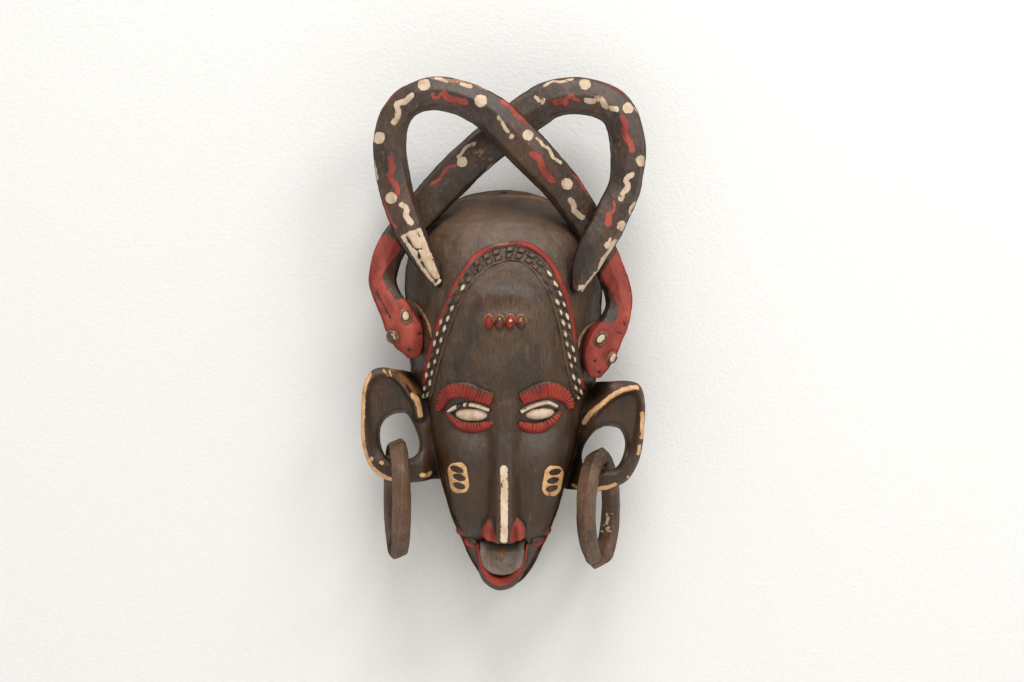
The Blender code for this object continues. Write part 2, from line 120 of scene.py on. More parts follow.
def noise(points, size, seed=0):
    """Smooth noise from -1 to 1; `size` is the width of its lumps along x, depth and z."""
    scaled = np.asarray(points, float) / np.asarray(size, float) + 1000.0
    base = np.floor(scaled).astype(np.int64)
    part = scaled - base
    part = part * part * (3 - 2 * part)
    total = 0.0
    for dx in (0, 1):
        for dy in (0, 1):
            for dz in (0, 1):
                weight = (np.abs(1 - dx - part[..., 0]) * np.abs(1 - dy - part[..., 1])
                          * np.abs(1 - dz - part[..., 2]))
                total = total + weight * lattice(base[..., 0] + dx, base[..., 1] + dy,
                                                 base[..., 2] + dz, seed)
    return total


def smooth_curve(points, spacing, places=2):
    """Catmull-Rom curve through the points, resampled at an even spacing in millimetres.

    The first `places` values of a point are its position; any others ride along. Also returns
    the distance of each sample along the curve.
    """
    knots = np.array(points, float)
    knots = np.vstack([2 * knots[0] - knots[1], knots, 2 * knots[-1] - knots[-2]])
    fine = []
    for i in range(1, len(knots) - 2):
        a, b, c, d = knots[i - 1:i + 3]
        for t in np.arange(CURVE_STEPS) / CURVE_STEPS:
            fine.append(0.5 * (2 * b + (c - a) * t + (2 * a - 5 * b + 4 * c - d) * t**2
                               + (3 * b - a - 3 * c + d) * t**3))
    fine.append(knots[-2])
    fine = np.array(fine)
    steps = np.linalg.norm(np.diff(fine[:, :places], axis=0), axis=1)
    length = np.concatenate([[0], np.cumsum(steps)])
    at = np.linspace(0, length[-1], max(4, int(round(length[-1] / spacing))) + 1)
    return np.stack([np.interp(at, length, column) for column in fine.T], axis=1), at


def stroke(x, z, line, half_width):
    """Signed distance into a painted stroke along a line of (x, z) points."""
    best = np.full(np.shape(x), FAR * 10)
    line = np.array(line, float)
    for a, b in zip(line[:-1], line[1:]):
        run = b - a
        t = np.clip(((x - a[0]) * run[0] + (z - a[1]) * run[1]) / max(run @ run, 1e-9), 0, 1)
        best = np.minimum(best, np.hypot(x - a[0] - t * run[0], z - a[1] - t * run[1]))
    return half_width - best


def squiggle(x, z, line, half_width):
    """Stroke along a smooth curve through the points."""
    return stroke(x, z, smooth_curve(line, 1.6)[0], half_width)


def dot(x, z, centre, radius):
    """Signed distance into a round spot."""
    return radius - np.hypot(x - centre[0], z - centre[1])


def polygon(x, z, outline):
    """Signed distance into a closed outline of (x, z) points."""
    corners = list(outline) + [outline[0]]
    inside = np.zeros(np.shape(x), bool)
    for (ax, az), (bx, bz) in zip(corners[:-1], corners[1:]):
        if az != bz:
            crossing = ax + (z - az) * (bx - ax) / (bz - az)
            inside ^= ((az > z) != (bz > z)) & (x < crossing)
    away = -stroke(x, z, corners, 0.0)
    return np.where(inside, away, -away)


def union(*distances):
    """Signed distance into any of several marks."""
    total = np.full(np.shape(distances[0]), -FAR)
    for distance in distances:
        total = np.maximum(total, distance)
    return total


# ---------------------------------------------------------------- meshes

def add_object(name, data):
    obj = bpy.data.objects.new(name, data)
    bpy.context.scene.collection.objects.link(obj)
    return obj


def add_attributes(mesh, paints):
    """Store the painted marks on the vertices; a paint that is not given lies nowhere."""
    for name in PAINTS:
        values = paints.get(name)
        if values is None:
            values = np.full(len(mesh.vertices), -FAR)
        attribute = mesh.attributes.new(name, "FLOAT", "POINT")
        attribute.data.foreach_set("value", np.clip(values, -FAR, FAR).astype(np.float32).ravel())


def signed_volume(points, faces):
    """Volume under the faces, positive when they are turned outward."""
    corners = [points[column] for column in faces.T]
    total = sum(np.sum(corners[0] * np.cross(second, third))
                for second, third in zip(corners[1:-1], corners[2:]))
    return total / 6


def make_piece(name, points, quads, triangles, paints, material):
    """Object from points in (x, depth, z) millimetres, with its faces turned outward."""
    world = np.stack([points[:, 0], -points[:, 1], points[:, 2]], axis=1) * MM
    quads = np.array(quads, dtype=int).reshape(-1, 4)
    triangles = np.array(triangles, dtype=int).reshape(-1, 3)
    if signed_volume(world, quads) + signed_volume(world, triangles) < 0:
        quads = quads[:, ::-1]
        triangles = triangles[:, ::-1]
    mesh = bpy.data.meshes.new(name)
    mesh.from_pydata(world.tolist(), [], quads.tolist() + triangles.tolist())
    add_attributes(mesh, paints)
    mesh.shade_smooth()
    mesh.materials.append(material)
    return add_object(name, mesh)


def ring_quads(rows, columns, start=0, closed_rows=False):
    """Quads between rows of a grid whose columns close into rings."""
    row = np.arange(rows if closed_rows else rows - 1)
    column = np.arange(columns)
    i, j = np.meshgrid(row, column, indexing="ij")
    below = (i + 1) % rows
    beside = (j + 1) % columns
    quads = stack(i * columns + j, i * columns + beside, below * columns + beside, below * columns + j)
    return quads.reshape(-1, 4) + start


def grid_quads(rows, columns):
    """Quads of an open grid."""
    number = np.arange(rows * columns).reshape(rows, columns)
    return np.stack([number[:-1, :-1], number[1:, :-1], number[1:, 1:], number[:-1, 1:]],
                    axis=-1).reshape(-1, 4)


def full_turn(count):
    """Even angles round a circle."""
    return np.linspace(0, 2 * math.pi, count + 1)[:-1]


def fan(loop, pole):
    """Triangles from a closed loop of point numbers to one point."""
    loop = np.asarray(loop)
    after = np.roll(loop, -1)
    return np.stack([loop, after, np.full(len(loop), pole)], axis=1)


def capped_rings(rings, first_reach=0.0, last_reach=0.0):
    """Points, quads and triangles of a closed skin over equal rings, closed by two poles.

    Each pole is the middle of its end ring, moved on by its reach.
    """
    rows, columns = rings.shape[:2]
    poles = [rings[0].mean(axis=0) + first_reach, rings[-1].mean(axis=0) + last_reach]
    points = np.vstack([rings.reshape(-1, 3), poles])
    count = rows * columns
    triangles = np.vstack([fan(np.arange(columns)[::-1], count),
                           fan(np.arange(count - columns, count), count + 1)])
    return points, ring_quads(rows, columns), triangles


def with_poles(values):
    """Flat paint values of a grid, with unpainted ones for the two poles that close it."""
    return np.append(values.ravel(), [-FAR, -FAR])


def ring_normals(rings):
    """Unit normals of a grid of closed rings, pointing away from each ring's middle."""
    along = np.gradient(rings, axis=0)
    around = np.roll(rings, -1, axis=1) - np.roll(rings, 1, axis=1)
    normals = np.cross(along, around)
    normals /= np.linalg.norm(normals, axis=2, keepdims=True) + 1e-9
    outward = np.sum(normals * (rings - rings.mean(axis=1, keepdims=True)), axis=2)
    return normals * np.sign(outward.mean())


def dress(obj, body="mask", slot="dark_patinated_wood", *nodes):
    """Put a piece on its body and hide the CAD nodes it stands for. The `slot` argument is not used."""
    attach(obj, body)
    if nodes:
        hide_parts(*nodes)
    return obj


# ---------------------------------------------------------------- materials

class Shader:
    """Short calls for building a node material."""

    def __init__(self, name):
        self.material = bpy.data.materials.new(name)
        self.material.use_nodes = True
        self.tree = self.material.node_tree
        self.principled = self.tree.nodes["Principled BSDF"]
        coordinates = self.node("TexCoord")
        self.place = self.vector("MULTIPLY", coordinates.outputs["Object"], (1000, 1000, 1000))

    def node(self, kind):
        return self.tree.nodes.new("ShaderNode" + kind)

    def link(self, source, target):
        if hasattr(source, "is_output"):
            self.tree.links.new(source, target)
        else:
            target.default_value = source

    def operate(self, kind, operation, first, second):
        node = self.node(kind)
        node.operation = operation
        self.link(first, node.inputs[0])
        self.link(second, node.inputs[1])
        return node.outputs[0]

    def vector(self, operation, first, second):
        return self.operate("VectorMath", operation, first, second)

    def math(self, operation, first, second):
        return self.operate("Math", operation, first, second)

    def noise(self, size, detail=4.0, roughness=0.55, distortion=0.0):
        """Noise from 0 to 1 whose lumps have the given size in millimetres along x, y and z."""
        node = self.node("TexNoise")
        stretched = self.vector("MULTIPLY", self.place, tuple(1 / s for s in size))
        self.link(stretched, node.inputs["Vector"])
        for key, value in (("Scale", 1.0), ("Detail", detail), ("Roughness", roughness),
                           ("Distortion", distortion)):
            node.inputs[key].default_value = value
        return node.outputs["Fac"]

    def step(self, value, low, high):
        """0 below low, 1 above high, smooth between."""
        node = self.node("MapRange")
        node.interpolation_type = "SMOOTHSTEP"
        self.link(value, node.inputs["Value"])
        node.inputs["From Min"].default_value = low
        node.inputs["From Max"].default_value = high
        return node.outputs["Result"]

    def blend(self, factor, first, second):
        node = self.node("Mix")
        node.data_type = "RGBA"
        self.link(factor, node.inputs["Factor"])
        self.link(first, node.inputs[6])
        self.link(second, node.inputs[7])
        return node.outputs[2]

    def tint(self, base, tint, share, value, low, high):
        """The base colour, turned by up to `share` to another as the value goes from low to high."""
        return self.blend(self.times(self.step(value, low, high), share), base, tint)

    def times(self, first, second):
        return self.math("MULTIPLY", first, second)

    def plus(self, first, second):
        return self.math("ADD", first, second)

    def height(self):
        """Height in the mask's frame, in millimetres."""
        node = self.node("SeparateXYZ")
        self.tree.links.new(self.place, node.inputs[0])
        return node.outputs["Z"]

    def edges(self):
        """From 0 in carved grooves, through 0.5 on smooth faces, to 1 along edges."""
        return self.node("NewGeometry").outputs["Pointiness"]

    def grazing(self):
        """From 0 where the surface faces the viewer to 1 at its silhouette."""
        return self.node("LayerWeight").outputs["Facing"]

    def shelter(self, distance):
        """From 0 deep in a crevice to 1 in the open."""
        node = self.node("AmbientOcclusion")
        node.samples = 4
        node.inputs["Distance"].default_value = distance * MM
        return node.outputs["AO"]

    def attribute(self, name):
        node = self.node("Attribute")
        node.attribute_name = name
        return node.outputs["Fac"]

    def finish(self, colour, roughness, height, distance):
        bump_node = self.node("Bump")
        bump_node.inputs["Strength"].default_value = 1.0
        bump_node.inputs["Distance"].default_value = distance * MM
        self.link(height, bump_node.inputs["Height"])
        self.link(colour, self.principled.inputs["Base Color"])
        self.link(roughness, self.principled.inputs["Roughness"])
        self.tree.links.new(bump_node.outputs["Normal"], self.principled.inputs["Normal"])
        return self.material


def colour(red, green, blue):
    """Linear colour from the usual 0 to 255 values."""
    channels = []
    for value in (red, green, blue):
        share = value / 255
        channels.append(share / 12.92 if share <= 0.04045 else ((share + 0.055) / 1.055) ** 2.4)
    return (*channels, 1.0)


GRAIN_UP = (1.3, 1.3, 22)
REDS_DEEP = (colour(116, 26, 11), colour(156, 45, 26))
REDS_FADED = (colour(124, 38, 26), colour(164, 68, 52))
RED_SOILED = colour(58, 22, 15)
CREAM_LIGHT = colour(212, 191, 167)
CREAM_DARK = colour(194, 165, 136)
CREAM_SOILED = colour(140, 104, 72)
CREAMS = (CREAM_LIGHT, CREAM_DARK)
CREAMS_AGED = (colour(216, 172, 124), colour(190, 142, 94))
CREAMS_DULL = (colour(202, 181, 157), colour(184, 156, 128))
DEEP_BROWN = colour(52, 33, 13)
# Lighter brown painted on the top of the skull as a painted highlight
PAINTED_LIGHT_BROWN = colour(112, 86, 66)
BARE_DARK = colour(100, 66, 38)
BARE_LIGHT = colour(172, 118, 70)
# Dark colour for soot in cracks and for painted shade
SOOT_AND_SHADE = colour(24, 17, 12)


def darker(rgba, share):
    """Colour with its channels scaled down."""
    return tuple(channel * share for channel in rgba[:3]) + (1.0,)


def carved_wood(name, dark, light, worn, warm, reds=REDS_DEEP, creams=CREAMS, wear=0.0,
                grain=GRAIN_UP, rough=0.38, deepened=0.65, painted_top_light=0.0):
    """Patinated wood with painted marks read from the vertex attributes.

    `deepened` is how far the wood turns to a deep brown below the brows; the last argument is how far it
    turns to a lighter brown at the top of the skull, a painted highlight where the light falls from above.
    """
    s = Shader(name)
    streaks = s.noise(grain, 6.0, 0.65, 0.3)
    mottle = s.noise((24, 24, 34), 5.0, 0.6)
    warmth = s.noise((30, 30, 52), 4.0, 0.6)
    speck = s.noise((1.2, 1.2, 2.2), 4.0, 0.7)
    scuff = s.noise((7, 7, 11), 6.0, 0.68)
    wood = s.blend(s.step(mottle, 0.38, 0.62), dark, light)
    wood = s.tint(wood, warm, 0.75, warmth, 0.48, 0.66)
    wood = s.tint(wood, worn, 0.45, streaks, 0.52, 0.70)
    wood = s.tint(wood, darker(dark, 0.45), 0.9, streaks, 0.46, 0.30)
    wood = s.tint(wood, darker(dark, 0.5), 0.6, speck, 0.50, 0.38)
    wood = s.tint(wood, DEEP_BROWN, deepened, s.height(), -150, -215)
    # Painted highlight: the wood turns lighter towards the top of the skull, where the light falls from above
    wood = s.tint(wood, PAINTED_LIGHT_BROWN, painted_top_light, s.height(), -85, -20)
    # Wear takes the patina off along edges and in scuffed places
    rubbed = s.step(scuff, 0.62 - wear, 0.76 - wear)
    edges = s.edges()
    at_edge = s.times(s.step(edges, 0.515, 0.56), s.step(scuff, 0.38, 0.62))
    wood = s.blend(s.times(s.math("MAXIMUM", rubbed, at_edge), 0.65), wood, worn)
    # Bare, rubbed-through wood has soft, blotchy borders
    blotches = s.times(s.math("SUBTRACT", scuff, 0.5), 9.0)
    bare = s.step(s.plus(s.attribute("bare"), blotches), -1.0, 2.0)
    wood = s.blend(bare, wood, s.blend(s.step(speck, 0.35, 0.65), BARE_DARK, BARE_LIGHT))
    # Paint edges waver, and flakes are missing where the scuff noise is high
    waver = s.times(s.math("SUBTRACT", speck, 0.5), 2.4)
    flaked = s.times(s.step(scuff, 0.60, 0.68), -2.6)
    edge = s.plus(waver, flaked)
    red = s.step(s.plus(s.attribute("red"), edge), -0.15, 0.2)
    red_colour = s.blend(s.step(mottle, 0.38, 0.62), *reds)
    red_colour = s.tint(red_colour, RED_SOILED, 0.55, streaks, 0.48, 0.28)
    cream = s.step(s.plus(s.attribute("cream"), edge), -0.15, 0.2)
    cream_colour = s.blend(s.step(scuff, 0.42, 0.62), *creams)
    cream_colour = s.tint(cream_colour, CREAM_SOILED, 0.5, speck, 0.58, 0.70)
    painted = s.blend(cream, s.blend(red, wood, red_colour), cream_colour)
    # Dirt in the grooves, and painted shade in the grooves and in the crevices between the carved parts,
    # darken the colour
    cover = s.math("MAXIMUM", cream, red)
    groove = s.times(s.step(edges, 0.492, 0.455), 0.7)
    # Painted shade from ambient occlusion in the crevices between the carved parts
    crevice = s.times(s.step(s.shelter(11), 0.80, 0.15), 0.85)
    dirt_and_shade = s.times(s.math("MAXIMUM", groove, crevice), s.math("SUBTRACT", 1.0, s.times(cover, 0.8)))
    # The soot paint adds real dark cracks and painted shade in holes, nostrils and under the nose
    dirt_and_shade = s.math("MAXIMUM", dirt_and_shade, s.step(s.attribute("soot_and_shade"), -0.5, 0.5))
    painted = s.blend(dirt_and_shade, painted, SOOT_AND_SHADE)
    roughness = s.plus(s.times(cover, 0.20), s.plus(rough - 0.08, s.times(scuff, 0.22)))
    relief = s.plus(s.times(streaks, 0.8), s.times(speck, 0.5))
    height = s.plus(s.times(cover, 0.4), relief)
    # The oily sheen dies away towards the silhouette
    sheen = s.times(s.step(s.grazing(), 0.85, 0.45), 0.5)
    s.link(sheen, s.principled.inputs["Specular IOR Level"])
    return s.finish(painted, roughness, height, 0.7)


def make_materials():
    """The finishes, under short names."""
    warm = colour(82, 50, 29)
    patina = (colour(50, 36, 24), colour(77, 57, 38), colour(116, 86, 57), warm)
    return {
        "wood": carved_wood("dark_patinated_wood", *patina),
        "ear": carved_wood("ear_wood", *patina, creams=CREAMS_AGED),
        "skull": carved_wood("skull_wood", *patina, reds=REDS_FADED, wear=0.01, grain=(1.8, 1.8, 12.0),
                             rough=0.39, painted_top_light=0.5),
        "serpent": carved_wood("serpent_painted_wood", colour(46, 34, 27), colour(72, 55, 43),
                               colour(118, 86, 60), warm, reds=REDS_FADED, creams=CREAMS_DULL,
                               wear=0.02, grain=(4.0, 4.0, 7.0)),
        "tongue": carved_wood("tongue_wood", colour(108, 95, 86), colour(140, 125, 114),
                              colour(150, 128, 106), colour(118, 98, 80), deepened=0.0),
        "ring": carved_wood("brown_ring_wood", colour(64, 46, 32), colour(100, 74, 53),
                            colour(144, 107, 76), colour(96, 58, 38), wear=0.04, rough=0.46,
                            deepened=0.0)}


# ---------------------------------------------------------------- face surface

def dome_power(level):
    t = np.clip(-level / 0.7, 0, 1)
    return DOME_POWER + (CHIN_POWER - DOME_POWER) * t * t * (3 - 2 * t)


def base_depth(x, z, with_mouth=True):
    """Depth of the skull and face without the nose."""
    level = (z - SKULL_MIDDLE) / SKULL_HALF_HEIGHT
    across = x / np.interp(z, WIDTH_LEVELS, WIDTH_SCALES)
    radius = np.minimum(np.hypot(level, across), 1.0)
    depth = np.interp(z, DEPTH_LEVELS, DEPTH_SCALES) * (1 - radius**dome_power(level)) ** 0.45
    forehead = 20 * bump(x, 44, 4) * bump(z + 118, 48, 4)
    crease = 2.2 * bump(np.hypot(x / 24, (z + 100 + 0.006 * x * x) / 7.5), 1.0)
    swelling = 2.2 * bump(np.hypot((x + 3) / 20, (z + 82) / 13), 1.0)
    sockets = 6.5 * bump(abs(x) - 28, 22) * bump(z + 199, 17)
    cheeks = 4 * bump(abs(x) - 36, 16) * bump(z + 245, 28)
    mouth = 14 * bump(x, 27, 4) * bump(z + 306, 12) * with_mouth
    return depth + (forehead + swelling - crease - sockets + cheeks - mouth) * (1 - radius**12)


def nose_depth(x, z):
    """Depth of the nose ridge and its two wings; far behind the face elsewhere."""
    across = abs(x - NOSE_X)
    ridge = np.interp(z, NOSE_LEVELS, NOSE_DEPTHS)
    face = base_depth(x, z)
    top_fade = smoothstep(-168, -186, z)
    base_fade = smoothstep(-299.5, -296.5, z)
    inner = np.interp(z, (-297, -235, -190), (5.4, 4.4, 3.0))
    outer = np.interp(z, (-297, -270, -200), (14.5, 15.0, 15.5))
    shape = (1 - smoothstep(inner, outer, across)) * top_fade * base_fade
    nose = face + (ridge - face) * shape
    wing = (1 - np.abs((across - WING_X) / WING_HALF[0]) ** 2.2
            - np.abs((z - WING_Z) / WING_HALF[1]) ** 2.2)
    wing_depth = 97 + 13 * np.sqrt(np.maximum(wing, 0))
    return np.where(wing > 0, np.maximum(nose, wing_depth), nose)


def face_depth(x, z):
    """Front of the shell: face, nose, and the groove that sets the forehead below its band."""
    inner_edge = [(bx * 0.87 + 0.8, bz - 4.5) for bx, bz, _ in BAND_LINE]
    groove = FOREHEAD_GROOVE * bump(stroke(x, z, inner_edge, 0.0), 3.2)
    return np.maximum(base_depth(x, z) - groove, nose_depth(x, z))


def face_frame(x, z, with_mouth=True):
    """Points on the face and the outward unit normals there."""
    step = 0.5
    depth = base_depth(x, z, with_mouth)
    slope_x = (base_depth(x + step, z, with_mouth) - base_depth(x - step, z, with_mouth)) / (2 * step)
    slope_z = (base_depth(x, z + step, with_mouth) - base_depth(x, z - step, with_mouth)) / (2 * step)
    normal = stack(-slope_x, np.ones_like(depth), -slope_z)
    normal /= np.linalg.norm(normal, axis=-1, keepdims=True)
    return stack(x, depth, z), normal


# ---------------------------------------------------------------- the shell

GRID_COLUMNS = 200
GRID_ROWS = 372
STITCH = 4
HOLLOW_RINGS = 56
HOLLOW_BARE = -1.0


def shell_grid():
    """Front surface of the shell on a grid that is squeezed into the mask's outline."""
    s = np.sin(0.5 * math.pi * np.linspace(-1, 1, GRID_COLUMNS + 1))
    t = np.sin(0.5 * math.pi * np.linspace(1, -1, GRID_ROWS + 1))
    t, s = np.meshgrid(t, s, indexing="ij")
    across = s * np.sqrt(1 - t * t / 2)
    level = t * np.sqrt(1 - s * s / 2)
    z = SKULL_MIDDLE + SKULL_HALF_HEIGHT * level
    x = across * np.interp(z, WIDTH_LEVELS, WIDTH_SCALES)
    depth = face_depth(x, z)
    rim = np.hypot(across, level) > 0.99999
    depth = np.where(rim, 0.0, depth)
    points = stack(x, depth, z)
    normals = np.cross(np.gradient(points, axis=1), np.gradient(points, axis=0))
    normals /= np.linalg.norm(normals, axis=-1, keepdims=True) + 1e-9
    normals *= np.sign(normals[GRID_ROWS // 2, GRID_COLUMNS // 2, 1])
    hand = 0.55 * noise(points, (9, 9, 13), 1) + 0.22 * noise(points, (3.2, 3.2, 5), 2)
    hand += 0.5 * noise(points, (17, 17, 4), 3) * smoothstep(-75, -40, z)
    inside = np.where(rim, 0.0, smoothstep(0, 8, depth))
    hole = HOLE_SINK * bump(np.hypot(x, depth - HOLE_DEPTH), HOLE_RADIUS, 6) * smoothstep(-20, -10, z)
    return points + normals * (hand * inside - hole)[..., None]


def grid_border(rows, columns):
    """Point numbers round the border of a grid, in order."""
    number = np.arange(rows * columns).reshape(rows, columns)
    return np.concatenate([number[0, :-1], number[:-1, -1], number[-1, :0:-1], number[:0:-1, 0]])


def hollow_rings(border):
    """Rings of the hollow back, from its rim on the wall plane to its deepest part."""
    across = border[:, 0] / np.interp(border[:, 2], WIDTH_LEVELS, WIDTH_SCALES)
    level = (border[:, 2] - SKULL_MIDDLE) / SKULL_HALF_HEIGHT
    rings = []
    for i in range(HOLLOW_RINGS):
        radius = math.cos(0.5 * math.pi * i / HOLLOW_RINGS)
        z = SKULL_MIDDLE + SKULL_HALF_HEIGHT * level * radius
        width = np.interp(z, WIDTH_LEVELS, WIDTH_SCALES)
        x = across * radius * width
        depth = base_depth(x, z) * (1 - WALL / SKULL_DEPTH) if i else np.zeros(len(x))
        height = SKULL_MIDDLE + (z - SKULL_MIDDLE) * (1 - WALL / SKULL_HALF_HEIGHT)
        ring = stack(x * (1 - WALL / width), depth, height)
        gouge = np.abs(np.sin(ring[:, 0] / 6.5 + 0.8 * noise(ring, (30, 30, 30), 5)))
        ring[:, 1] -= (1.1 * gouge + 0.5 * noise(ring, (8, 8, 14), 6)) * smoothstep(0, 10, depth)
        rings.append(ring)
    return np.array(rings)


WING_MARKS = (((-11.8, -278.1), (-9.4, -281.4), (-5.2, -294.7), (-11, -297.5), (-18.5, -294),
               (-18.5, -286.5), (-15.2, -281.6)),
              ((11.5, -276.4), (8.1, -281.4), (5.2, -294.7), (10.6, -297.5), (18.5, -294),
               (19, -286.5), (15.2, -280)))
NOSE_LINE = ((0.6, -236), (1, -262), (0.6, -293.8))
SKULL_RIM = ((-117, -26), (-100, -16), (-70, -8), (-30, -4.5), (0, -3.2), (30, -4), (70, -8),
             (100, -16), (117, -26))


def face_paints(points):
    """Nose line, red nose wings, the rubbed top rim of the skull, and painted shade in its hanging hole."""
    x, z = points[:, 0], points[:, 2]
    wobble = 0.35 * noise(points, (2.2, 2.2, 2.2), 13)
    on_front = np.where(points[:, 1] > 60, 0.0, -FAR) + wobble
    cream = squiggle(x, z, NOSE_LINE, 3.1) + on_front
    red = union(*(polygon(x, z, outline) for outline in WING_MARKS)) + on_front
    rim = np.minimum(stroke(x, z, SKULL_RIM, 3.4), points[:, 1] - 16) - 2.0
    cheeks = -1.9 - 0.04 * np.hypot(np.abs(x) - 30, (z + 268) * 0.6)
    # Painted shade: the hanging hole is painted dark
    at_hole = np.hypot(x, points[:, 1] - HOLE_DEPTH) + np.where(z > -20, 0, FAR)
    return {"cream": cream, "red": red, "bare": np.maximum(rim, cheeks), "soot_and_shade": HOLE_RADIUS + 1.0 - at_hole}


def make_shell(material):
    """Face and hollow back in one closed skin, stitched together along the rim."""
    grid = shell_grid()
    rows, columns = grid.shape[:2]
    points = grid.reshape(-1, 3)
    border = grid_border(rows, columns)
    coarse = points[border[::STITCH]]
    hollow = hollow_rings(coarse)
    start = len(points)
    size = len(coarse)
    centre = hollow[-1].mean(axis=0)
    triangles = list(fan(np.arange(size) + start + (HOLLOW_RINGS - 1) * size,
                         start + HOLLOW_RINGS * size))
    for i in range(size):
        inner, inner_next = start + i, start + (i + 1) % size
        outer = [border[(i * STITCH + k) % len(border)] for k in range(STITCH + 1)]
        for a, b in zip(outer[:-1], outer[1:]):
            triangles.append((a, b, inner))
        triangles.append((outer[-1], inner_next, inner))
    points = np.vstack([points, hollow.reshape(-1, 3), [centre]])
    paints = face_paints(points)
    for name in PAINTS:
        inside = HOLLOW_BARE if name == "bare" else -FAR
        paints[name] = np.where(np.arange(len(points)) < start, paints[name], inside)
    quads = np.vstack([grid_quads(rows, columns), ring_quads(HOLLOW_RINGS, size, start)])
    shell = make_piece("face_shell", points, quads, triangles, paints, material)
    fix_winding(shell)
    return dress(shell, "mask", "dark_patinated_wood", "mask_shell")


def fix_winding(obj):
    """Turn every face of a closed mesh outward."""
    shape = bmesh.new()
    shape.from_mesh(obj.data)
    bmesh.ops.recalc_face_normals(shape, faces=shape.faces)
    shape.to_mesh(obj.data)
    shape.free()


# ---------------------------------------------------------------- strips laid along the face

STRIP_SINK = 5.0


def strip(name, line, spacing, across_count, relief, paint, material):
    """Raised strip along (x, z, half-width) points of the face.

    `relief(u, v, half)` gives the lift and `paint(u, v, half, x, z)` the painted marks, where u
    is the distance along the strip and v the distance from its middle.
    """
    curve, along = smooth_curve(line, spacing)
    tangent = np.gradient(curve[:, :2], axis=0)
    tangent /= np.linalg.norm(tangent, axis=1, keepdims=True)
    share = np.linspace(-1, 1, across_count)
    half = curve[:, 2]
    v = half[:, None] * share[None, :]
    u = np.repeat(along[:, None], across_count, axis=1)
    x = curve[:, 0, None] + tangent[:, 1, None] * v
    z = curve[:, 1, None] - tangent[:, 0, None] * v
    surface, normal = face_frame(x, z)
    halves = half[:, None] * np.ones_like(v)
    lift = relief(u, v, halves)
    top = surface + normal * lift[..., None]
    under = surface[:, ::-1][:, 1:-1:4] - normal[:, ::-1][:, 1:-1:4] * STRIP_SINK
    under[..., 1] = np.maximum(under[..., 1], CLEAR_OF_WALL)
    rings = np.concatenate([top, under], axis=1)
    points, quads, triangles = capped_rings(rings)
    paints = {}
    for key, values in paint(u, v, halves, x, z).items():
        full = np.full(rings.shape[:2], -FAR)
        full[:, :across_count] = values
        paints[key] = with_poles(full)
    return dress(make_piece(name, points, quads, triangles, paints, material))


def rounded_lift(v, half, height, power):
    """A strip's crown: flat-topped, falling to just under the surface at its sides."""
    return (height + 1.0) * (1 - np.abs(v / half) ** power) ** 0.6 - 1.0


STUD_HEIGHT = 2.2
STUD_PITCH = 9.4
STUD_HALF = (3.4, 1.5)
SQUARE_HALF = (2.6, 1.9)
WORN_TOP = (-24, 30)


def stud_distance(u, v, half, at_top):
    """Signed distance into two rows of studs, and each stud's own number from -1 to 1.

    The studs are squares side by side at the top of the head, lozenges further down.
    """
    best = np.full(np.shape(u), -FAR)
    chance = np.zeros(np.shape(u))
    for row in (-0.44, 0.44):
        shift = np.where(at_top | (row < 0), 0.0, 0.5)
        place = np.round(u / STUD_PITCH - shift)
        own = lattice(place.astype(int), int(row > 0), 0, 19)
        across = v - row * half
        along = u - (place + shift + 0.10 * own) * STUD_PITCH + 0.35 * across
        size = 1 + 0.18 * own
        lozenge = size - np.abs(along / STUD_HALF[0]) ** 1.3 - np.abs(across / STUD_HALF[1]) ** 1.3
        square = 1 - np.maximum(np.abs(along / SQUARE_HALF[0]), np.abs(across / SQUARE_HALF[1]))
        distance = np.where(at_top, square * 1.9, lozenge * 1.7)
        chance = np.where(distance > best, own, chance)
        best = np.maximum(best, distance)
    return best, chance


def worn_top(x, z):
    """Where the hair band has lost its paint."""
    return (x > WORN_TOP[0]) & (x < WORN_TOP[1]) & (z > -76)


def make_hair_band(material):
    middle = smooth_curve(BAND_LINE, 0.7)[0]
    top = worn_top(middle[:, 0], middle[:, 1])[:, None]

    def relief(u, v, half):
        studs = smoothstep(-0.4, 0.4, stud_distance(u, v, half, top & (u > -1))[0])
        rim = bump(np.abs(v / half) - 0.95, 0.07)
        return rounded_lift(v, half, 0.8, 8.0) + STUD_HEIGHT * studs + 2.0 * rim

    def paint(u, v, half, x, z):
        studs, chance = stud_distance(u, v, half, top & (u > -1))
        place = stack(u, v, u * 0)
        sparse = np.where((z > -112) & (x < 0), 0.0, np.where(z > -95, -0.25, -0.75))
        kept = (chance > sparse) & ~(top & (u > -1))
        lost = 2.0 * noise(place, (6, 3.5, 8), 11) + 1.1
        cream = np.where(kept, studs - 0.4 + np.minimum(0, lost), -FAR)
        return {"cream": cream, "bare": np.where(kept, -FAR, studs - 1.8)}

    strip("hair_band", BAND_LINE, 0.7, 33, relief, paint, material)


RIDGE_LINE = ((-67.5, -166, 1.4), (-64.5, -150, 2.2), (-60, -131, 2.5), (-48.6, -102, 2.7),
              (-40.6, -84.5, 2.7), (-31.7, -68.4, 2.8), (-23, -57.5, 3), (-13, -50.8, 3),
              (-2.9, -48, 2.6), (7.3, -46.8, 2.8), (15.8, -46.6, 3.1), (23.4, -48.9, 3.1),
              (31.9, -54.5, 3), (42.1, -66, 2.8), (54.2, -94.5, 2.6), (60.6, -129.8, 2.4),
              (64, -150, 2.2), (67.8, -170, 1.4))


def make_hair_ridge(material):
    def relief(u, v, half):
        return rounded_lift(v, half, 2.0, 2.4)

    def paint(u, v, half, x, z):
        painted = (z > -121) | ((x > 0) & (z > -131)) | ((x < 0) & (z < -128)) | ((x > 0) & (z < -160))
        red = np.where(painted, 1.2, -FAR)
        worn = (x > -12) & (x < 5)
        red = np.where(worn, v - half + 1.4, red)
        bare = np.where(worn, 1.2 - np.abs(v + 0.6), -FAR)
        return {"red": red, "bare": bare}

    strip("hair_ridge", RIDGE_LINE, 0.9, 15, relief, paint, material)


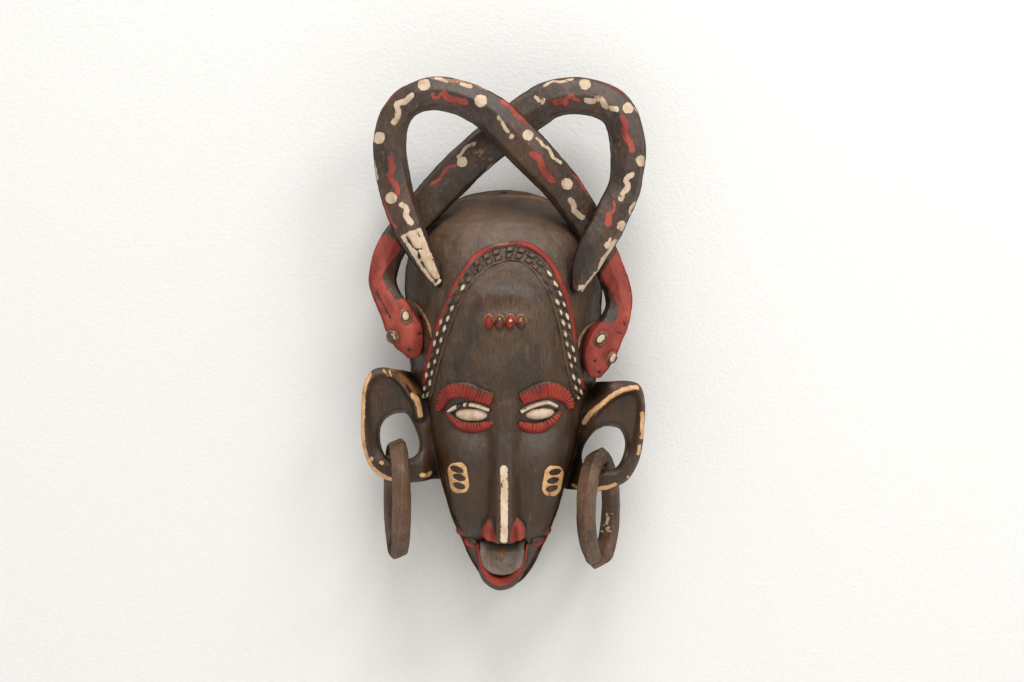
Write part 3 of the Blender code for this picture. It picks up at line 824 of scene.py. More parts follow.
BROW_LINES = {
    "left": ((-54.6, -189, 1.8), (-53.2, -184.6, 3.4), (-49.6, -176.8, 5.2), (-45.4, -172.2, 6.5),
             (-38.2, -170, 6.9), (-29.7, -170.5, 6.7), (-21.3, -173.8, 6.2), (-13.7, -176.4, 6),
             (-8.5, -178, 5.6)),
    "right": ((14.2, -177.5, 5.6), (21.6, -174.3, 6.3), (30, -171, 7), (39.3, -169.9, 7.3),
              (47.9, -173.2, 6.7), (53.2, -178, 5.4), (55.8, -183.3, 3.6), (56.4, -187.5, 1.8))}
LID_LINES = {
    "left": ((-46.3, -189.5, 1.4), (-44.9, -191.5, 2.4), (-40.7, -196.4, 3.8), (-34.8, -200.2, 4.7),
             (-27.2, -201.6, 5), (-18.8, -200.8, 4.6), (-12.1, -199, 3.9), (-7.9, -197.6, 2.8)),
    "right": ((12.6, -198, 3), (18.2, -200.6, 4.5), (25.8, -202, 4.9), (33.4, -200.9, 4.8),
              (40.1, -197, 4.2), (44.3, -192.4, 3.3), (46.7, -187.6, 1.4))}
UPPER_LID_LINES = {
    "left": ((-46, -188.8, 1.4), (-40.7, -185.2, 1.9), (-34, -182.8, 2), (-28.1, -182.2, 2),
             (-20.5, -183.7, 2), (-11.6, -187.3, 1.6)),
    "right": ((14.3, -188.8, 1.6), (22.5, -184.3, 2), (30.9, -181.5, 2), (37.6, -180.7, 2),
              (44.5, -184.2, 1.5))}
BROW_HEIGHT = 3.6
LOWER_LID_HEIGHT = 4.2
UPPER_LID_HEIGHT = 3.4
NOTCH_PITCH = 2.9


def notches(u, v, seed):
    """Hand-cut V notches across a strip: 0 between them, 1 at the bottom of one."""
    place = stack(u, u * 0 + seed, v * 0.25)
    phase = u / NOTCH_PITCH + 0.35 * noise(place, (8, 8, 8), seed)
    deep = 0.75 + 0.6 * noise(place, (4, 8, 8), seed + 1)
    return deep * np.maximum(0, 1 - np.abs(phase - np.round(phase)) * 4.0)


def make_brows_and_lids(material):
    for number, side in enumerate(("left", "right")):
        def brow_relief(u, v, half):
            ends = smoothstep(-0.5, 1.5, np.minimum(u, u.max() - u))
            crown = rounded_lift(v, half, BROW_HEIGHT * ends, 6.0) + 0.8 * bump(v / half + 0.93, 0.1)
            return crown - 1.0 * notches(u, v, 3 + number)

        def brow_paint(u, v, half, x, z):
            red = np.minimum(half - v + 0.6, half + v - 1.2)
            cuts = notches(u, v, 3 + number) * smoothstep(-0.2, 0.9, np.abs(v / half))
            return {"red": np.minimum(red, 1.5) - 1.9 * cuts}

        def lid_relief(u, v, half):
            return rounded_lift(v, half, LOWER_LID_HEIGHT, 3.0) - 1.0 * notches(u, v, 7 + number)

        def lid_paint(u, v, half, x, z):
            red = np.minimum(half + v - 1.6, 1.5)
            upper_part = smoothstep(0.9, -0.6, v / half)
            return {"red": red - 2.2 * notches(u, v, 7 + number) * upper_part}

        def upper_relief(u, v, half):
            return rounded_lift(v, half, UPPER_LID_HEIGHT, 3.0)

        def upper_paint(u, v, half, x, z):
            cream = half - np.abs(v) + 0.2
            gap = (x > -38.5) & (x < -33.0)
            crack = np.abs(x + 29.4) < 0.8
            return {"cream": np.where(gap | crack, -FAR, cream)}

        strip(f"brow_{side}", BROW_LINES[side], 0.35, 27, brow_relief, brow_paint, material)
        strip(f"lower_lid_{side}", LID_LINES[side], 0.35, 21, lid_relief, lid_paint, material)
        strip(f"upper_lid_{side}", UPPER_LID_LINES[side], 0.5, 13, upper_relief, upper_paint, material)


LEDGES = {"left": ((-83, -94, 0.9), (-79, -94.6, 1.5), (-70.2, -103.9, 1.6), (-64.5, -113.8, 1.5),
                   (-60.2, -126.7, 0.8)),
          "right": ((80, -112.8, 0.9), (76.5, -114.2, 1.5), (71.4, -118.1, 1.6), (65.6, -126.7, 1.5),
                    (62, -138.2, 0.8))}


def make_ledges(material):
    """Thin raised edge of the skull beside each serpent's head."""
    for side, line in LEDGES.items():
        def relief(u, v, half):
            return rounded_lift(v, half, 1.6, 2.5)

        def paint(u, v, half, x, z):
            return {"bare": 1.0 + 1.5 * noise(stack(x, v, z), (5, 2, 5), 9)}

        strip(f"head_ledge_{side}", line, 0.7, 11, relief, paint, material)


# ---------------------------------------------------------------- small patches on the face

def patch(name, centre, half_size, lean, relief, paint, material, spacing, sink=4.0, with_mouth=True):
    """Small carved area on the face: a rounded grid that is lifted by `relief(p, q)`."""
    columns = int(2 * half_size[0] / spacing) | 1
    rows = int(2 * half_size[1] / spacing) | 1
    q, p = np.meshgrid(np.linspace(1, -1, rows), np.linspace(-1, 1, columns), indexing="ij")
    p, q = (half_size[0] * p * np.sqrt(1 - q * q / 2), half_size[1] * q * np.sqrt(1 - p * p / 2))
    x = centre[0] + p * math.cos(lean) + q * math.sin(lean)
    z = centre[1] - p * math.sin(lean) + q * math.cos(lean)
    surface, normal = face_frame(x, z, with_mouth)
    top = surface + normal * relief(p, q)[..., None]
    points = top.reshape(-1, 3)
    border = grid_border(rows, columns)
    flat = surface.reshape(-1, 3)[border] - normal.reshape(-1, 3)[border] * sink
    flat[:, 1] = np.maximum(flat[:, 1], CLEAR_OF_WALL)
    start = len(points)
    size = len(border)
    low = np.arange(size) + start
    walls = np.stack([border, np.roll(border, -1), np.roll(low, -1), low], axis=1)
    points = np.vstack([points, flat, [flat.mean(axis=0)]])
    paints = {key: np.append(values.ravel(), np.full(size + 1, -FAR))
              for key, values in paint(p, q).items()}
    quads = np.vstack([grid_quads(rows, columns), walls])
    piece = make_piece(name, points, quads, fan(low, start + size), paints, material)
    fix_winding(piece)
    return dress(piece)


def dome_relief(half_size, height):
    def relief(p, q):
        radius = (p / half_size[0]) ** 2 + (q / half_size[1]) ** 2
        return height * np.sqrt(np.maximum(0, 1 - radius)) - 1.0
    return relief


EYEBALLS = (("left", (-26.9, -191.2), (14, 5.8), 0.03), ("right", (30.9, -190.4), (12.6, 5.2), -0.10))
SCARS = ((-11.9, -113.1), (-2.9, -113.2), (5.7, -112.8), (14.8, -113.1))
SCAR_HALF = (5.3, 7.2)
SCAR_HEIGHT = 6.5
# Cheek marks: centre, lean, tilt of the slots, slot centres
CHEEK_MARKS = (("left", (-37.6, -244.1), -0.15, -0.40, ((-0.6, 7.3), (0.6, 0.5), (-0.4, -6.7))),
               ("right", (41.6, -247), 0.17, 0.26, ((0.6, 7.6), (0.2, 0.5), (0.3, -6.4))))
CHEEK_HALF = (9.6, 14.2)
LIP_HEIGHT = 3.6
EYEBALL_HEIGHT = 4.8
SLOT_HALF = (5.2, 2.7)
# Upper lip lobes: centre, half-size, lean
LIP_LOBES = (("far_left", (-36.4, -291.2), (4.9, 3.5), 0.85), ("left", (-28.6, -300), (6, 3.9), 0.62),
             ("right", (30.2, -299.2), (6.2, 3.9), -0.55), ("far_right", (36.8, -291.4), (4.7, 3.4), -0.8))


def make_eyeballs(material):
    for side, centre, half, lean in EYEBALLS:
        def paint(p, q, half=half):
            almond = 1 - np.abs(p / (half[0] - 0.7)) ** 2.6 - np.abs(q / (half[1] - 0.7)) ** 1.7
            return {"cream": almond * 3.0 + 0.3}

        patch(f"eyeball_{side}", centre, half, lean, dome_relief(half, EYEBALL_HEIGHT), paint, material, 0.45)


def make_scars(material):
    for number, centre in enumerate(SCARS):
        def relief(p, q):
            radius = np.hypot(p / SCAR_HALF[0], q / SCAR_HALF[1])
            cone = 1 - radius**1.8 - 0.06 * np.abs(p)
            return SCAR_HEIGHT * cone * (1 - 0.05 * q) - 0.8 + 1.2 * bump(radius - 0.86, 0.1) * (q > -2)

        def paint(p, q, number=number):
            place = stack(p + 20 * number, q, p * 0)
            radius = np.hypot(p / SCAR_HALF[0], q / SCAR_HALF[1])
            red = 1.5 * noise(place, (2.4, 2.4, 2.4), 21) + (1.2, -0.4, 0.4, -0.6)[number] - 0.1 * q
            grey = 1.6 * noise(place, (1.8, 1.8, 1.8), 22) - (2.2, 0.5, 0.4, 0.8)[number]
            bare = np.where((radius > 0.72) & (q > -1.5), 3.0, -2.0)
            return {"red": np.where(radius > 0.75, -1.2, red), "bare": bare,
                    "cream": np.where(np.hypot(p, q - 1.0) < 2.0, grey, -FAR)}

        patch(f"forehead_scar_{number + 1}", centre, SCAR_HALF, 0.0, relief, paint, material, 0.4)


def cheek_mark_distance(p, q, tilt, slots):
    """Signed distance into a rounded frame with three slanting slots cut out of it."""
    half_x, half_y, corner = CHEEK_HALF[0] - 1.3, CHEEK_HALF[1] - 1.3, 6.0
    over_x = np.abs(p) - half_x + corner
    over_y = np.abs(q) - half_y + corner
    outline = corner - np.hypot(np.maximum(over_x, 0), np.maximum(over_y, 0))
    total = outline - np.minimum(np.maximum(over_x, over_y), 0)
    for sx, sy in slots:
        along = (p - sx) * math.cos(tilt) + (q - sy) * math.sin(tilt)
        across = (q - sy) * math.cos(tilt) - (p - sx) * math.sin(tilt)
        slot = (1 - np.hypot(along / SLOT_HALF[0], across / SLOT_HALF[1])) * SLOT_HALF[1]
        total = np.minimum(total, -slot)
    return total


def make_cheek_marks(material):
    for side, centre, lean, tilt, slots in CHEEK_MARKS:
        def relief(p, q, tilt=tilt, slots=slots):
            inside = cheek_mark_distance(p, q, tilt, slots)
            edge = np.hypot(p / CHEEK_HALF[0], q / CHEEK_HALF[1])
            return 1.5 * smoothstep(-0.6, 0.7, inside) - 0.5 - 1.2 * smoothstep(0.92, 1.1, edge)

        def paint(p, q, tilt=tilt, slots=slots):
            return {"cream": cheek_mark_distance(p, q, tilt, slots) * 1.5}

        patch(f"cheek_mark_{side}", centre, CHEEK_HALF, lean, relief, paint, material, 0.4)


def make_upper_lip(material):
    for name, centre, half, lean in LIP_LOBES:
        def relief(p, q, half=half):
            radius = (p / half[0]) ** 2 + (q / half[1]) ** 2
            return LIP_HEIGHT * np.maximum(0, 1 - radius) ** 0.8 - 0.6

        def paint(p, q, half=half):
            red = -(q / half[1] - 0.35) * 4.0
            return {"red": red + 0.8 * noise(stack(p, q, p), (3, 3, 3), 23)}

        patch(f"upper_lip_{name}", centre, half, lean, relief, paint, material, 0.45, 8.0, False)


# ---------------------------------------------------------------- tongue and lower lip

LOWER_LIP = ((-21.4, 86, -301, 1.3, 3.5), (-20.8, 87.5, -306, 1.6, 4.5), (-18.9, 89, -314, 2, 5.5),
             (-15.2, 89, -322.5, 3.1, 6.2), (-9.6, 88, -328.8, 4.1, 6.6), (-2.4, 87.5, -331.4, 4.6, 6.8),
             (5.3, 88, -329, 4.2, 6.6), (11.9, 89, -322.7, 3.2, 6.2), (16.6, 89, -314.5, 2.1, 5.5),
             (19, 87.5, -306.5, 1.6, 4.5), (20, 86, -301, 1.3, 3.5))
LIP_SIDES = 32
TONGUE_MIDDLE = -1.0
TONGUE_ROOT = -297.5
TONGUE_LENGTH = 28.5
TONGUE_HALF_WIDTH = 18.8
TONGUE_BACK = 80.0
TONGUE_COLUMNS = 61


def tube_rings(spine, turn, radius=1.0):
    """Oval rings round a spine whose stations hold x, depth, z and two half-widths."""
    along = np.gradient(spine[:, :3], axis=0)
    along /= np.linalg.norm(along, axis=1, keepdims=True)
    across = np.cross(along, np.array([0.0, 1.0, 0.0]))
    across /= np.linalg.norm(across, axis=1, keepdims=True)
    outward = np.cross(across, along)
    return (spine[:, None, :3]
            + (spine[:, 3, None] * np.cos(turn) * radius)[..., None] * across[:, None]
            + (spine[:, 4, None] * np.sin(turn) * radius)[..., None] * outward[:, None])


def lip_tube(name, spine, red, material):
    """Tube along the lower lip, painted evenly with the given red value."""
    rings = tube_rings(spine, full_turn(LIP_SIDES))
    rings += ring_normals(rings) * (0.25 * noise(rings, (5, 5, 5), 31))[..., None]
    points, quads, triangles = capped_rings(rings)
    dress(make_piece(name, points, quads, triangles, {"red": np.full(len(points), red)}, material))


def make_lower_lip(material):
    """Red lip with a lower, unpainted chin border round its outside."""
    spine = smooth_curve(LOWER_LIP, 0.8, 3)[0]
    lip_tube("lower_lip", spine, 1.4, material)
    low = smoothstep(-303, -326, spine[:, 2])
    chin = spine + np.stack([0 * low, -5.5 + 0 * low, -1.2 * low, 0.4 + 2.2 * low, 1.0 + low], axis=1)
    lip_tube("chin_border", chin, -FAR, material)


def make_tongue(material):
    """A spoon-shaped tongue: hollowed along its middle, rounded at its tip."""
    def half_width(t):
        return TONGUE_HALF_WIDTH * np.sqrt(np.clip(1 - np.clip((t - 0.25) / 0.75, 0, 1) ** 2.6, 0, 1)) + 0.4

    t = 1 - (1 - np.linspace(0, 1, 60)) ** 1.6
    share = np.linspace(-1, 1, TONGUE_COLUMNS)
    half = half_width(t)
    x = TONGUE_MIDDLE + half[:, None] * share
    z = TONGUE_ROOT - TONGUE_LENGTH * t[:, None] * np.ones_like(x)
    edge = np.sqrt(np.clip(1 - np.abs(share) ** 5, 0, 1))
    hollow = 3.6 * bump(share, 0.66, 4) * (1 - smoothstep(0.7, 0.97, t))[:, None]
    lift = np.interp(t, (0, 0.3, 0.75, 0.93, 1), (88, 95, 98.5, 97, 93))[:, None]
    top_depth = lift * np.ones_like(x) - hollow - 5 * (1 - edge)
    top = stack(x, top_depth, z)
    top[..., 1] += 0.25 * noise(top, (4, 4, 8), 33)
    under = stack(x[:, ::-4], np.full_like(x[:, ::-4], TONGUE_BACK), z[:, ::-4])
    rings = np.concatenate([top, under], axis=1)
    points, quads, triangles = capped_rings(rings)
    tan = np.full(rings.shape[:2], -FAR)
    drop = 3.4 * smoothstep(1.0, 0.14, t[:, None]) - np.abs(x - TONGUE_MIDDLE + 0.6)
    rim = -0.9 - np.abs(np.abs(share) * half[:, None] - half[:, None] + 2.2)
    tan[:, :TONGUE_COLUMNS] = np.maximum(np.where(t[:, None] > 0.17, 3 * drop, -FAR), rim)
    # Painted shadow darkens the root of the tongue, under the nose
    shaded = 0.35 - 4.5 * t[:, None] * np.ones(rings.shape[:2])
    marks = {"bare": with_poles(tan), "soot_and_shade": with_poles(shaded)}
    dress(make_piece("tongue", points, quads, triangles, marks, material))


# ---------------------------------------------------------------- serpents

SERPENT_FRONT = ((-55, 71, -81, 3.5, 4), (-62.5, 70, -67, 8.5, 8), (-74, 69, -47, 12, 10.5),
                 (-83, 67, -27, 14, 12), (-91, 63, -4, 15, 13.5), (-96.5, 60, 22, 15, 14),
                 (-97.5, 60, 43, 14.5, 14), (-92, 62, 64, 14, 14), (-79, 64, 77, 14, 14),
                 (-57, 67, 82.5, 15, 14.5), (-33.5, 71, 77, 15.7, 15), (-12, 75, 65.5, 17, 15),
                 (4, 76, 51, 18, 15), (27, 72, 28, 18, 15), (46.5, 60, 8, 16.7, 14),
                 (62.5, 50, -12, 15.8, 13), (76.5, 44, -35, 14.5, 12), (88.5, 43, -59, 13.3, 12),
                 (97, 44, -80, 12.5, 12), (99.5, 49, -98, 12, 12), (95, 54, -113, 13, 13),
                 (87, 57, -127, 15.5, 14), (81, 58, -141, 15, 12), (79, 58, -152, 11, 9),
                 (78.5, 58, -160, 5, 4.5))
SERPENT_REAR = ((62.5, 69, -86, 5, 5), (68, 69, -70, 11, 8.5), (76.5, 69, -51, 14.3, 11),
                (88.5, 66, -30, 15.3, 12), (97, 62, -12, 15, 13), (103, 59, 2, 14.8, 14),
                (106, 58, 18, 15, 14.5), (107, 57, 35, 15.7, 14.5), (104, 56, 52, 15.5, 14.5),
                (97.5, 54, 68, 15.8, 14.5), (83, 52, 78, 16, 14.5), (61, 50, 82, 16.5, 15),
                (41, 48, 79, 17, 15), (27, 46, 71, 17.5, 15), (5, 44, 55, 17.5, 15),
                (-11, 44, 42, 17.3, 15), (-31, 44, 25, 17.3, 15), (-49, 43, 7.5, 17, 14.5),
                (-68, 41, -13, 16, 13.5), (-83, 39, -31, 14.5, 12), (-94, 39, -44, 13.5, 12),
                (-101, 40, -59, 13, 12), (-104, 44, -77, 12.5, 12), (-99, 50, -93, 12.5, 12),
                (-90.5, 55, -107, 15, 14), (-84, 57, -121, 16.3, 13), (-79, 57, -133, 12.5, 10),
                (-77, 57, -143, 5, 4.5))
SERPENT_SIDES = 96
SERPENT_SPACING = 0.95
FACETS = 7
FACET_SHARPNESS = 0.85
BROAD = {"cream": 2.4, "red": 2.7}
NARROW = 1.45
END_REACH = 0.8

# Marks are lines of (x, z) points; dots, and the flecks of bare wood, are a centre and a radius.
# An eye has its centre, lean, two half-sizes and the shift and two half-sizes of its cream pupil.
# "tail" holds outlines painted cream, "neck" one outline painted red, and "chips" dark cracks.
FRONT_MARKS = {
    "dots": ((-105.9, 43.7, 5.2), (-95.4, -7.6, 5), (-67.4, 88.3, 5.3), (-18.9, 73.5, 5.6),
             (20.9, 44.6, 4.7), (54.1, 4.5, 5), (7, 43.4, 2.3), (-28.5, 86.4, 2.2)),
    "cream": (((57, -8.6), (60.4, -12.5), (60.3, -17), (67.2, -23)),
              ((-77.5, 79.2), (-83.6, 73.9), (-90.4, 72.4), (-89.2, 66.5), (-90.4, 60.8),
               (-93.2, 56.4)),
              ((-86.2, -13.4), (-81.8, -16.9), (-82.5, -22.2), (-78.3, -29))),
    "thin_cream": (((28.5, 41.9), (33.5, 36.7), (38.6, 33.2), (42, 26.6), (48.5, 22.4)),
                   ((-57.4, 94.1), (-52, 93), (-48.2, 91)), ((-35.8, 88.6), (-29, 86.6)),
                   ((-4.3, 59.4), (-1.5, 55.5), (1.5, 50.2), (4, 46.8)),
                   ((-111.4, 24.7), (-109.3, 16.2), (-107.9, 9.2)), ((82, -50), (79, -58))),
    "red": (((-95.7, 26.2), (-94.2, 17.7), (-96.2, 10.6), (-91.6, 3.5), (-89.9, -3.5)),
            ((-50.3, 80.3), (-46.8, 76.2), (-39, 74), (-32, 72.4)),
            ((-0.3, 73), (6.5, 69.3), (10.7, 61.7), (16.4, 57.8)),
            ((24.2, 28.8), (30.9, 23.7), (33.5, 15.7), (41.5, 7.1))),
    "thin_red": (((-60, 80), (-58.2, 76.6), (-54.6, 77.2), (-51, 81.6)),
                 ((-103.4, 70), (-92.6, 83.2), (-80.4, 90.4)), ((15, 60), (19.5, 54.5)),
                 ((60.2, 12.6), (65.4, 8.6), (68.3, 2.5), (72.5, -2.9)),
                 ((-104.4, -8.8), (-100.2, -17.2), (-96.6, -26), (-91.2, -33.1))),
    "bare": (((-62, 95), (-48, 91.5), (-30, 91), (-14, 84)),),
    "flecks": ((-104, 31, 1.6),),
    "tail": (((-87.2, -40.3), (-79.7, -36), (-70.3, -33), (-67.4, -39.4), (-60.1, -58.2),
              (-52.6, -77.7), (-57.6, -85.5), (-71.9, -65), (-80.2, -51.3)),),
    "chips": (((-82.3, -39.8), (-77, -48.5), (-72.2, -53.6), (-69.9, -61.6), (-64, -70),
               (-58, -78)), ((-73.5, -51.5), (-69.4, -51)), ((-72.6, -37.9), (-70.8, -41)),
              ((-60, -79.5), (-53, -75.5)), ((102.6, -112), (103.8, -116)),
              ((97, -121.5), (100.5, -123))),
    "neck": ((97.9, -50.5), (92.8, -58), (83.2, -72), (83.2, -76.4), (91.9, -85),
             (97.6, -97.9), (97.6, -106.6), (94.5, -112.5), (86, -113.2), (76, -110),
             (60, -112), (60, -172), (132, -172), (132, -50.5)),
    "eyes": ((82.9, -127.1, 0.85, 7, 5.2, 0, 4.6, 2.7), (93, -143.7, 1, 6.2, 4.4, 0, 3.8, 2)),
    "nostrils": ((77.6, -146), (81.4, -155.7))}
REAR_MARKS = {
    "dots": ((69.8, 90.6, 5.2), (106.3, 69.8, 4.9), (117.4, 24.7, 4.8), (-35.5, 24.4, 4.6),
             (100.8, -31.2, 4.4)),
    "cream": (((71, 76.4), (76.5, 75.6), (82.5, 78.2), (86.5, 72), (91.7, 69.4), (96, 68.4)),
              ((109.4, 12.5), (104.2, 8), (106, 1.8), (101.6, -3.1), (99.5, -8.2))),
    "thin_cream": (((34.7, 89.5), (41.7, 94), (48.5, 92.9), (58.7, 95.2)),
                   ((27.5, 80), (31, 76.4), (35.1, 77.6), (33, 74.5)),
                   ((112.7, 70.7), (117.8, 63.7), (120.4, 53.5)),
                   ((112.3, -11.2), (107.8, -17.4), (108.9, -24), (104.4, -32.7)),
                   ((-24.9, 40.3), (-32, 37.5), (-36.2, 31.8), (-39, 29.4))),
    "red": (((44.5, 74.8), (49.5, 75.6), (53, 74.6)),
            ((101.1, 61.2), (104.3, 54), (103.6, 45.6), (107.7, 40.4), (109.4, 33.5)),
            ((89.6, -22), (88.9, -29.7))),
    "thin_red": (((51.5, 76.4), (55, 78.6), (59, 80.8), (60.6, 77.2), (65.2, 76.2)),
                 ((93.9, -10.8), (94, -17.5), (90.6, -22)),
                 ((-40.4, 21.2), (-48.2, 19.8), (-53.2, 13.4), (-55.3, 9.2), (-61.7, 6.3)),
                 ((12.5, 81.1), (18.5, 87.2)), ((82.8, 95.1), (94, 89.9), (105, 81.9)),
                 ((122, 21.6), (120.2, 13), (118.5, 4.4))),
    "bare": (((-76.5, -117.5), (-75.6, -123)),),
    "flecks": ((-19, 27, 8.5), (-12, 23, 5)),
    "tail": (((98, -42.8), (93.7, -54.2), (82.4, -69.2), (71.7, -80.5), (67.4, -88.6), (66, -86.5),
              (71, -78.5), (77, -70.5), (79.8, -69), (82.4, -59.9), (88.8, -51.4), (93.5, -42.6)),
             ((63.4, -82.5), (65.5, -80.8), (69.1, -81.8), (68.4, -85.4), (63.4, -86.1)),
             ((85.2, -46.8), (87.6, -44.7), (91.2, -40.4), (91.9, -42.5), (88.4, -51.8), (86.2, -50.4))),
    "chips": (((-109, -87.5), (-104, -96.5), (-97, -108.5)),),
    "neck": ((-98, -37.5), (-88.5, -47), (-88.5, -51.5), (-96.3, -60.8), (-104, -72),
             (-104, -76.4), (-98, -85), (-91.9, -93.6), (-84, -92), (-50, -91),
             (-50, -155), (-130, -155), (-130, -37.5)),
    "eyes": ((-83.1, -107.6, -1.35, 6.8, 5, 0, 3.8, 2.7), (-95, -125.6, -1.1, 6.4, 5.2, 1.6, 2.8, 1.1)),
    "nostrils": ((-80.5, -136.7), (-71, -123))}
EYE_RISE = 2.4


def facet_radius(turn):
    """Softened polygon, so that the carved body keeps its knife facets."""
    sector = 2 * math.pi / FACETS
    within = (turn + 0.30) % sector - sector / 2
    sharp = math.cos(sector / 2) / np.cos(within)
    return 1 + FACET_SHARPNESS * (sharp - 1)


def serpent_rings(spine_line, marks):
    """Carved body of a serpent, its spine, and the angles of its sides."""
    spine = smooth_curve(spine_line, SERPENT_SPACING, 3)[0]
    turn = full_turn(SERPENT_SIDES)
    rings = tube_rings(spine, turn, facet_radius(turn))
    front = np.sin(turn)[None, :] > -0.2
    hand = 0.55 * noise(rings, (13, 13, 13), 41) + 0.2 * noise(rings, (4, 4, 4), 42)
    x, z = rings[..., 0], rings[..., 2]
    for eye in marks["eyes"]:
        socket, pupil = eye_distances(x, z, eye)
        hand = hand + front * (EYE_RISE * smoothstep(-0.3, 2.2, socket) - 0.9 * bump(socket + 0.9, 0.9))
        hand = hand - front * 0.8 * bump(pupil + 0.8, 0.8)
    for nx, nz in marks["nostrils"]:
        hand = hand - front * 1.6 * bump(np.hypot(x - nx, z - nz), 1.5)
    for line in marks["chips"]:
        hand = hand - front * 0.7 * smoothstep(-0.6, 0.4, stroke(x, z, line, 0.8))
    return rings + ring_normals(rings) * hand[..., None], spine, turn


def eye_distances(x, z, eye):
    """Signed distances into a serpent's eye and into its cream pupil."""
    ex, ez, lean, long_half, short_half, shift, pupil_long, pupil_short = eye
    p = (x - ex) * math.cos(lean) + (z - ez) * math.sin(lean)
    q = (z - ez) * math.cos(lean) - (x - ex) * math.sin(lean)
    socket = (1 - np.hypot(p / long_half, q / short_half)) * short_half
    pupil = (1 - np.hypot(p / pupil_long, (q - shift) / pupil_short)) * pupil_short
    return socket, pupil


def serpent_paints(rings, turn, marks):
    """Cream and red marks on the front of the body, the red neck and head, the cream tail."""
    x, z = rings[..., 0], rings[..., 2]
    wobble = 0.45 * noise(rings, (2.2, 2.2, 2.2), 43)
    front = np.where(np.sin(turn)[None, :] > 0.12, 0.0, -FAR)
    ragged = noise(rings, (3, 3, 3), 44)
    drawn = {}
    for key in ("cream", "red"):
        broad = [squiggle(x, z, line, BROAD[key]) for line in marks[key]]
        thin = [squiggle(x, z, line, NARROW) for line in marks["thin_" + key]]
        drawn[key] = union(*broad, *thin) + front
    cream = union(drawn["cream"], *(dot(x, z, (cx, cz), r) + front for cx, cz, r in marks["dots"]),
                  *(polygon(x, z, outline) + front for outline in marks["tail"]))
    neck = polygon(x, z, marks["neck"])
    bare = union(*(3 * stroke(x, z, line, 1.7) for line in marks["bare"])) + front
    flecks = [np.minimum(dot(x, z, (cx, cz), r), 9 * ragged + 0.4) for cx, cz, r in marks["flecks"]]
    bare = union(bare, *flecks)
    soot_and_shade = np.full(np.shape(x), -FAR)
    for line in marks["chips"]:
        crack = -squiggle(x, z, line, 0.5 + 1.4 * np.maximum(ragged, 0))
        soot_and_shade = union(soot_and_shade, -crack - 0.5 + front)
        cream = np.minimum(cream, crack)
        neck = np.minimum(neck, crack)
    for eye in marks["eyes"]:
        socket, pupil = eye_distances(x, z, eye)
        neck = np.minimum(neck, -socket)
        cream = union(cream, pupil + front)
        bare = union(bare, 2.0 - 2.5 * np.abs(socket - 0.4) + front)
    # The nostrils are left bare of red and painted dark, as painted shade in their pits
    for nx, nz in marks["nostrils"]:
        neck = np.minimum(neck, np.hypot(x - nx, z - nz) - 1.3)
        soot_and_shade = union(soot_and_shade, 0.9 - np.hypot(x - nx, z - nz) + front)
    return {"red": union(drawn["red"], neck) + wobble, "cream": cream + wobble, "bare": bare,
            "soot_and_shade": soot_and_shade}


def make_serpent(name, line, marks, material):
    rings, spine, turn = serpent_rings(line, marks)
    paints = serpent_paints(rings, turn, marks)
    paints = {key: np.append(values.ravel(), [values[0].mean(), values[-1].mean()])
              for key, values in paints.items()}
    points, quads, triangles = capped_rings(rings, (spine[0, :3] - spine[1, :3]) * END_REACH,
                                            (spine[-1, :3] - spine[-2, :3]) * END_REACH)
    serpent = make_piece(f"{name}_carving", points, quads, triangles, paints, material)
    dress(serpent, "mask", "red_black_painted_wood", name)


# ---------------------------------------------------------------- ears

EAR_FRONT = 69.0
EAR_BACK = 51.0
EAR_LEFT = ((-62, -163), (-80, -156), (-91, -153.5), (-104, -151.5), (-113.5, -155), (-119.5, -166),
            (-121.5, -181), (-122, -205), (-120, -222), (-114, -237), (-104, -246), (-94, -249),
            (-80, -250), (-63, -248), (-50, -244), (-48, -205))
EAR_LEFT_HOLE = ((-88.5, -190.5), (-82.5, -191.5), (-76, -203), (-72, -216), (-74, -225.5),
                 (-81, -229.8), (-91, -230.2), (-99.5, -229), (-104.5, -219), (-105.5, -206),
                 (-102, -197), (-95, -192))
EAR_RIGHT = ((62, -172), (79, -165), (92, -163.5), (104, -163), (115, -165.5), (120, -174.5),
             (121.2, -190), (119.5, -214), (116, -231), (109, -244.5), (101, -251.5), (85, -257),
             (66, -257), (50, -253), (50, -210))
EAR_RIGHT_HOLE = ((86, -202), (77.5, -207), (70, -218), (67.5, -228), (70, -237.2), (79, -238.6),
                  (88, -238.8), (96, -237.4), (101.5, -229), (104, -216), (100, -205), (92, -202))
# Where each ear meets the skull: height, and distance from the middle of the mask
EAR_LEFT_ROOT = ((-245, -227, -205, -180, -155), (54, 57, 61, 65, 80))
EAR_RIGHT_ROOT = ((-254, -239, -214, -190, -165), (54.3, 58.5, 63, 66, 79))
EAR_ROOT_BLEND = 15.0
TRAGUS = {"ear_left": (-65.5, -203), "ear_right": (67.5, -211)}
EAR_STATIONS = 340
EAR_FRONT_COLUMNS = 52
EAR_BACK_COLUMNS = 30
EAR_FOLD_LEFT = ((-95, -154), (-84, -164), (-77.4, -175.2), (-73.2, -181.2), (-70.6, -193.2))
EAR_FOLD_RIGHT = ((69, -199), (80, -185.5), (94, -174), (108, -168.5), (114, -168))


def closed_curve(points, centre, count):
    """Points of a smooth closed outline, at even angles round a centre."""
    curve = smooth_curve(tuple(points) + (points[0],), 1.0)[0]
    angle = np.unwrap(np.arctan2(curve[:, 1] - centre[1], curve[:, 0] - centre[0]))
    if angle[-1] < angle[0]:
        angle, curve = angle[::-1], curve[::-1]
    wanted = angle[0] + (full_turn(count) - angle[0]) % (2 * math.pi)
    return np.stack([np.interp(wanted, angle, curve[:, k]) for k in (0, 1)], axis=1)


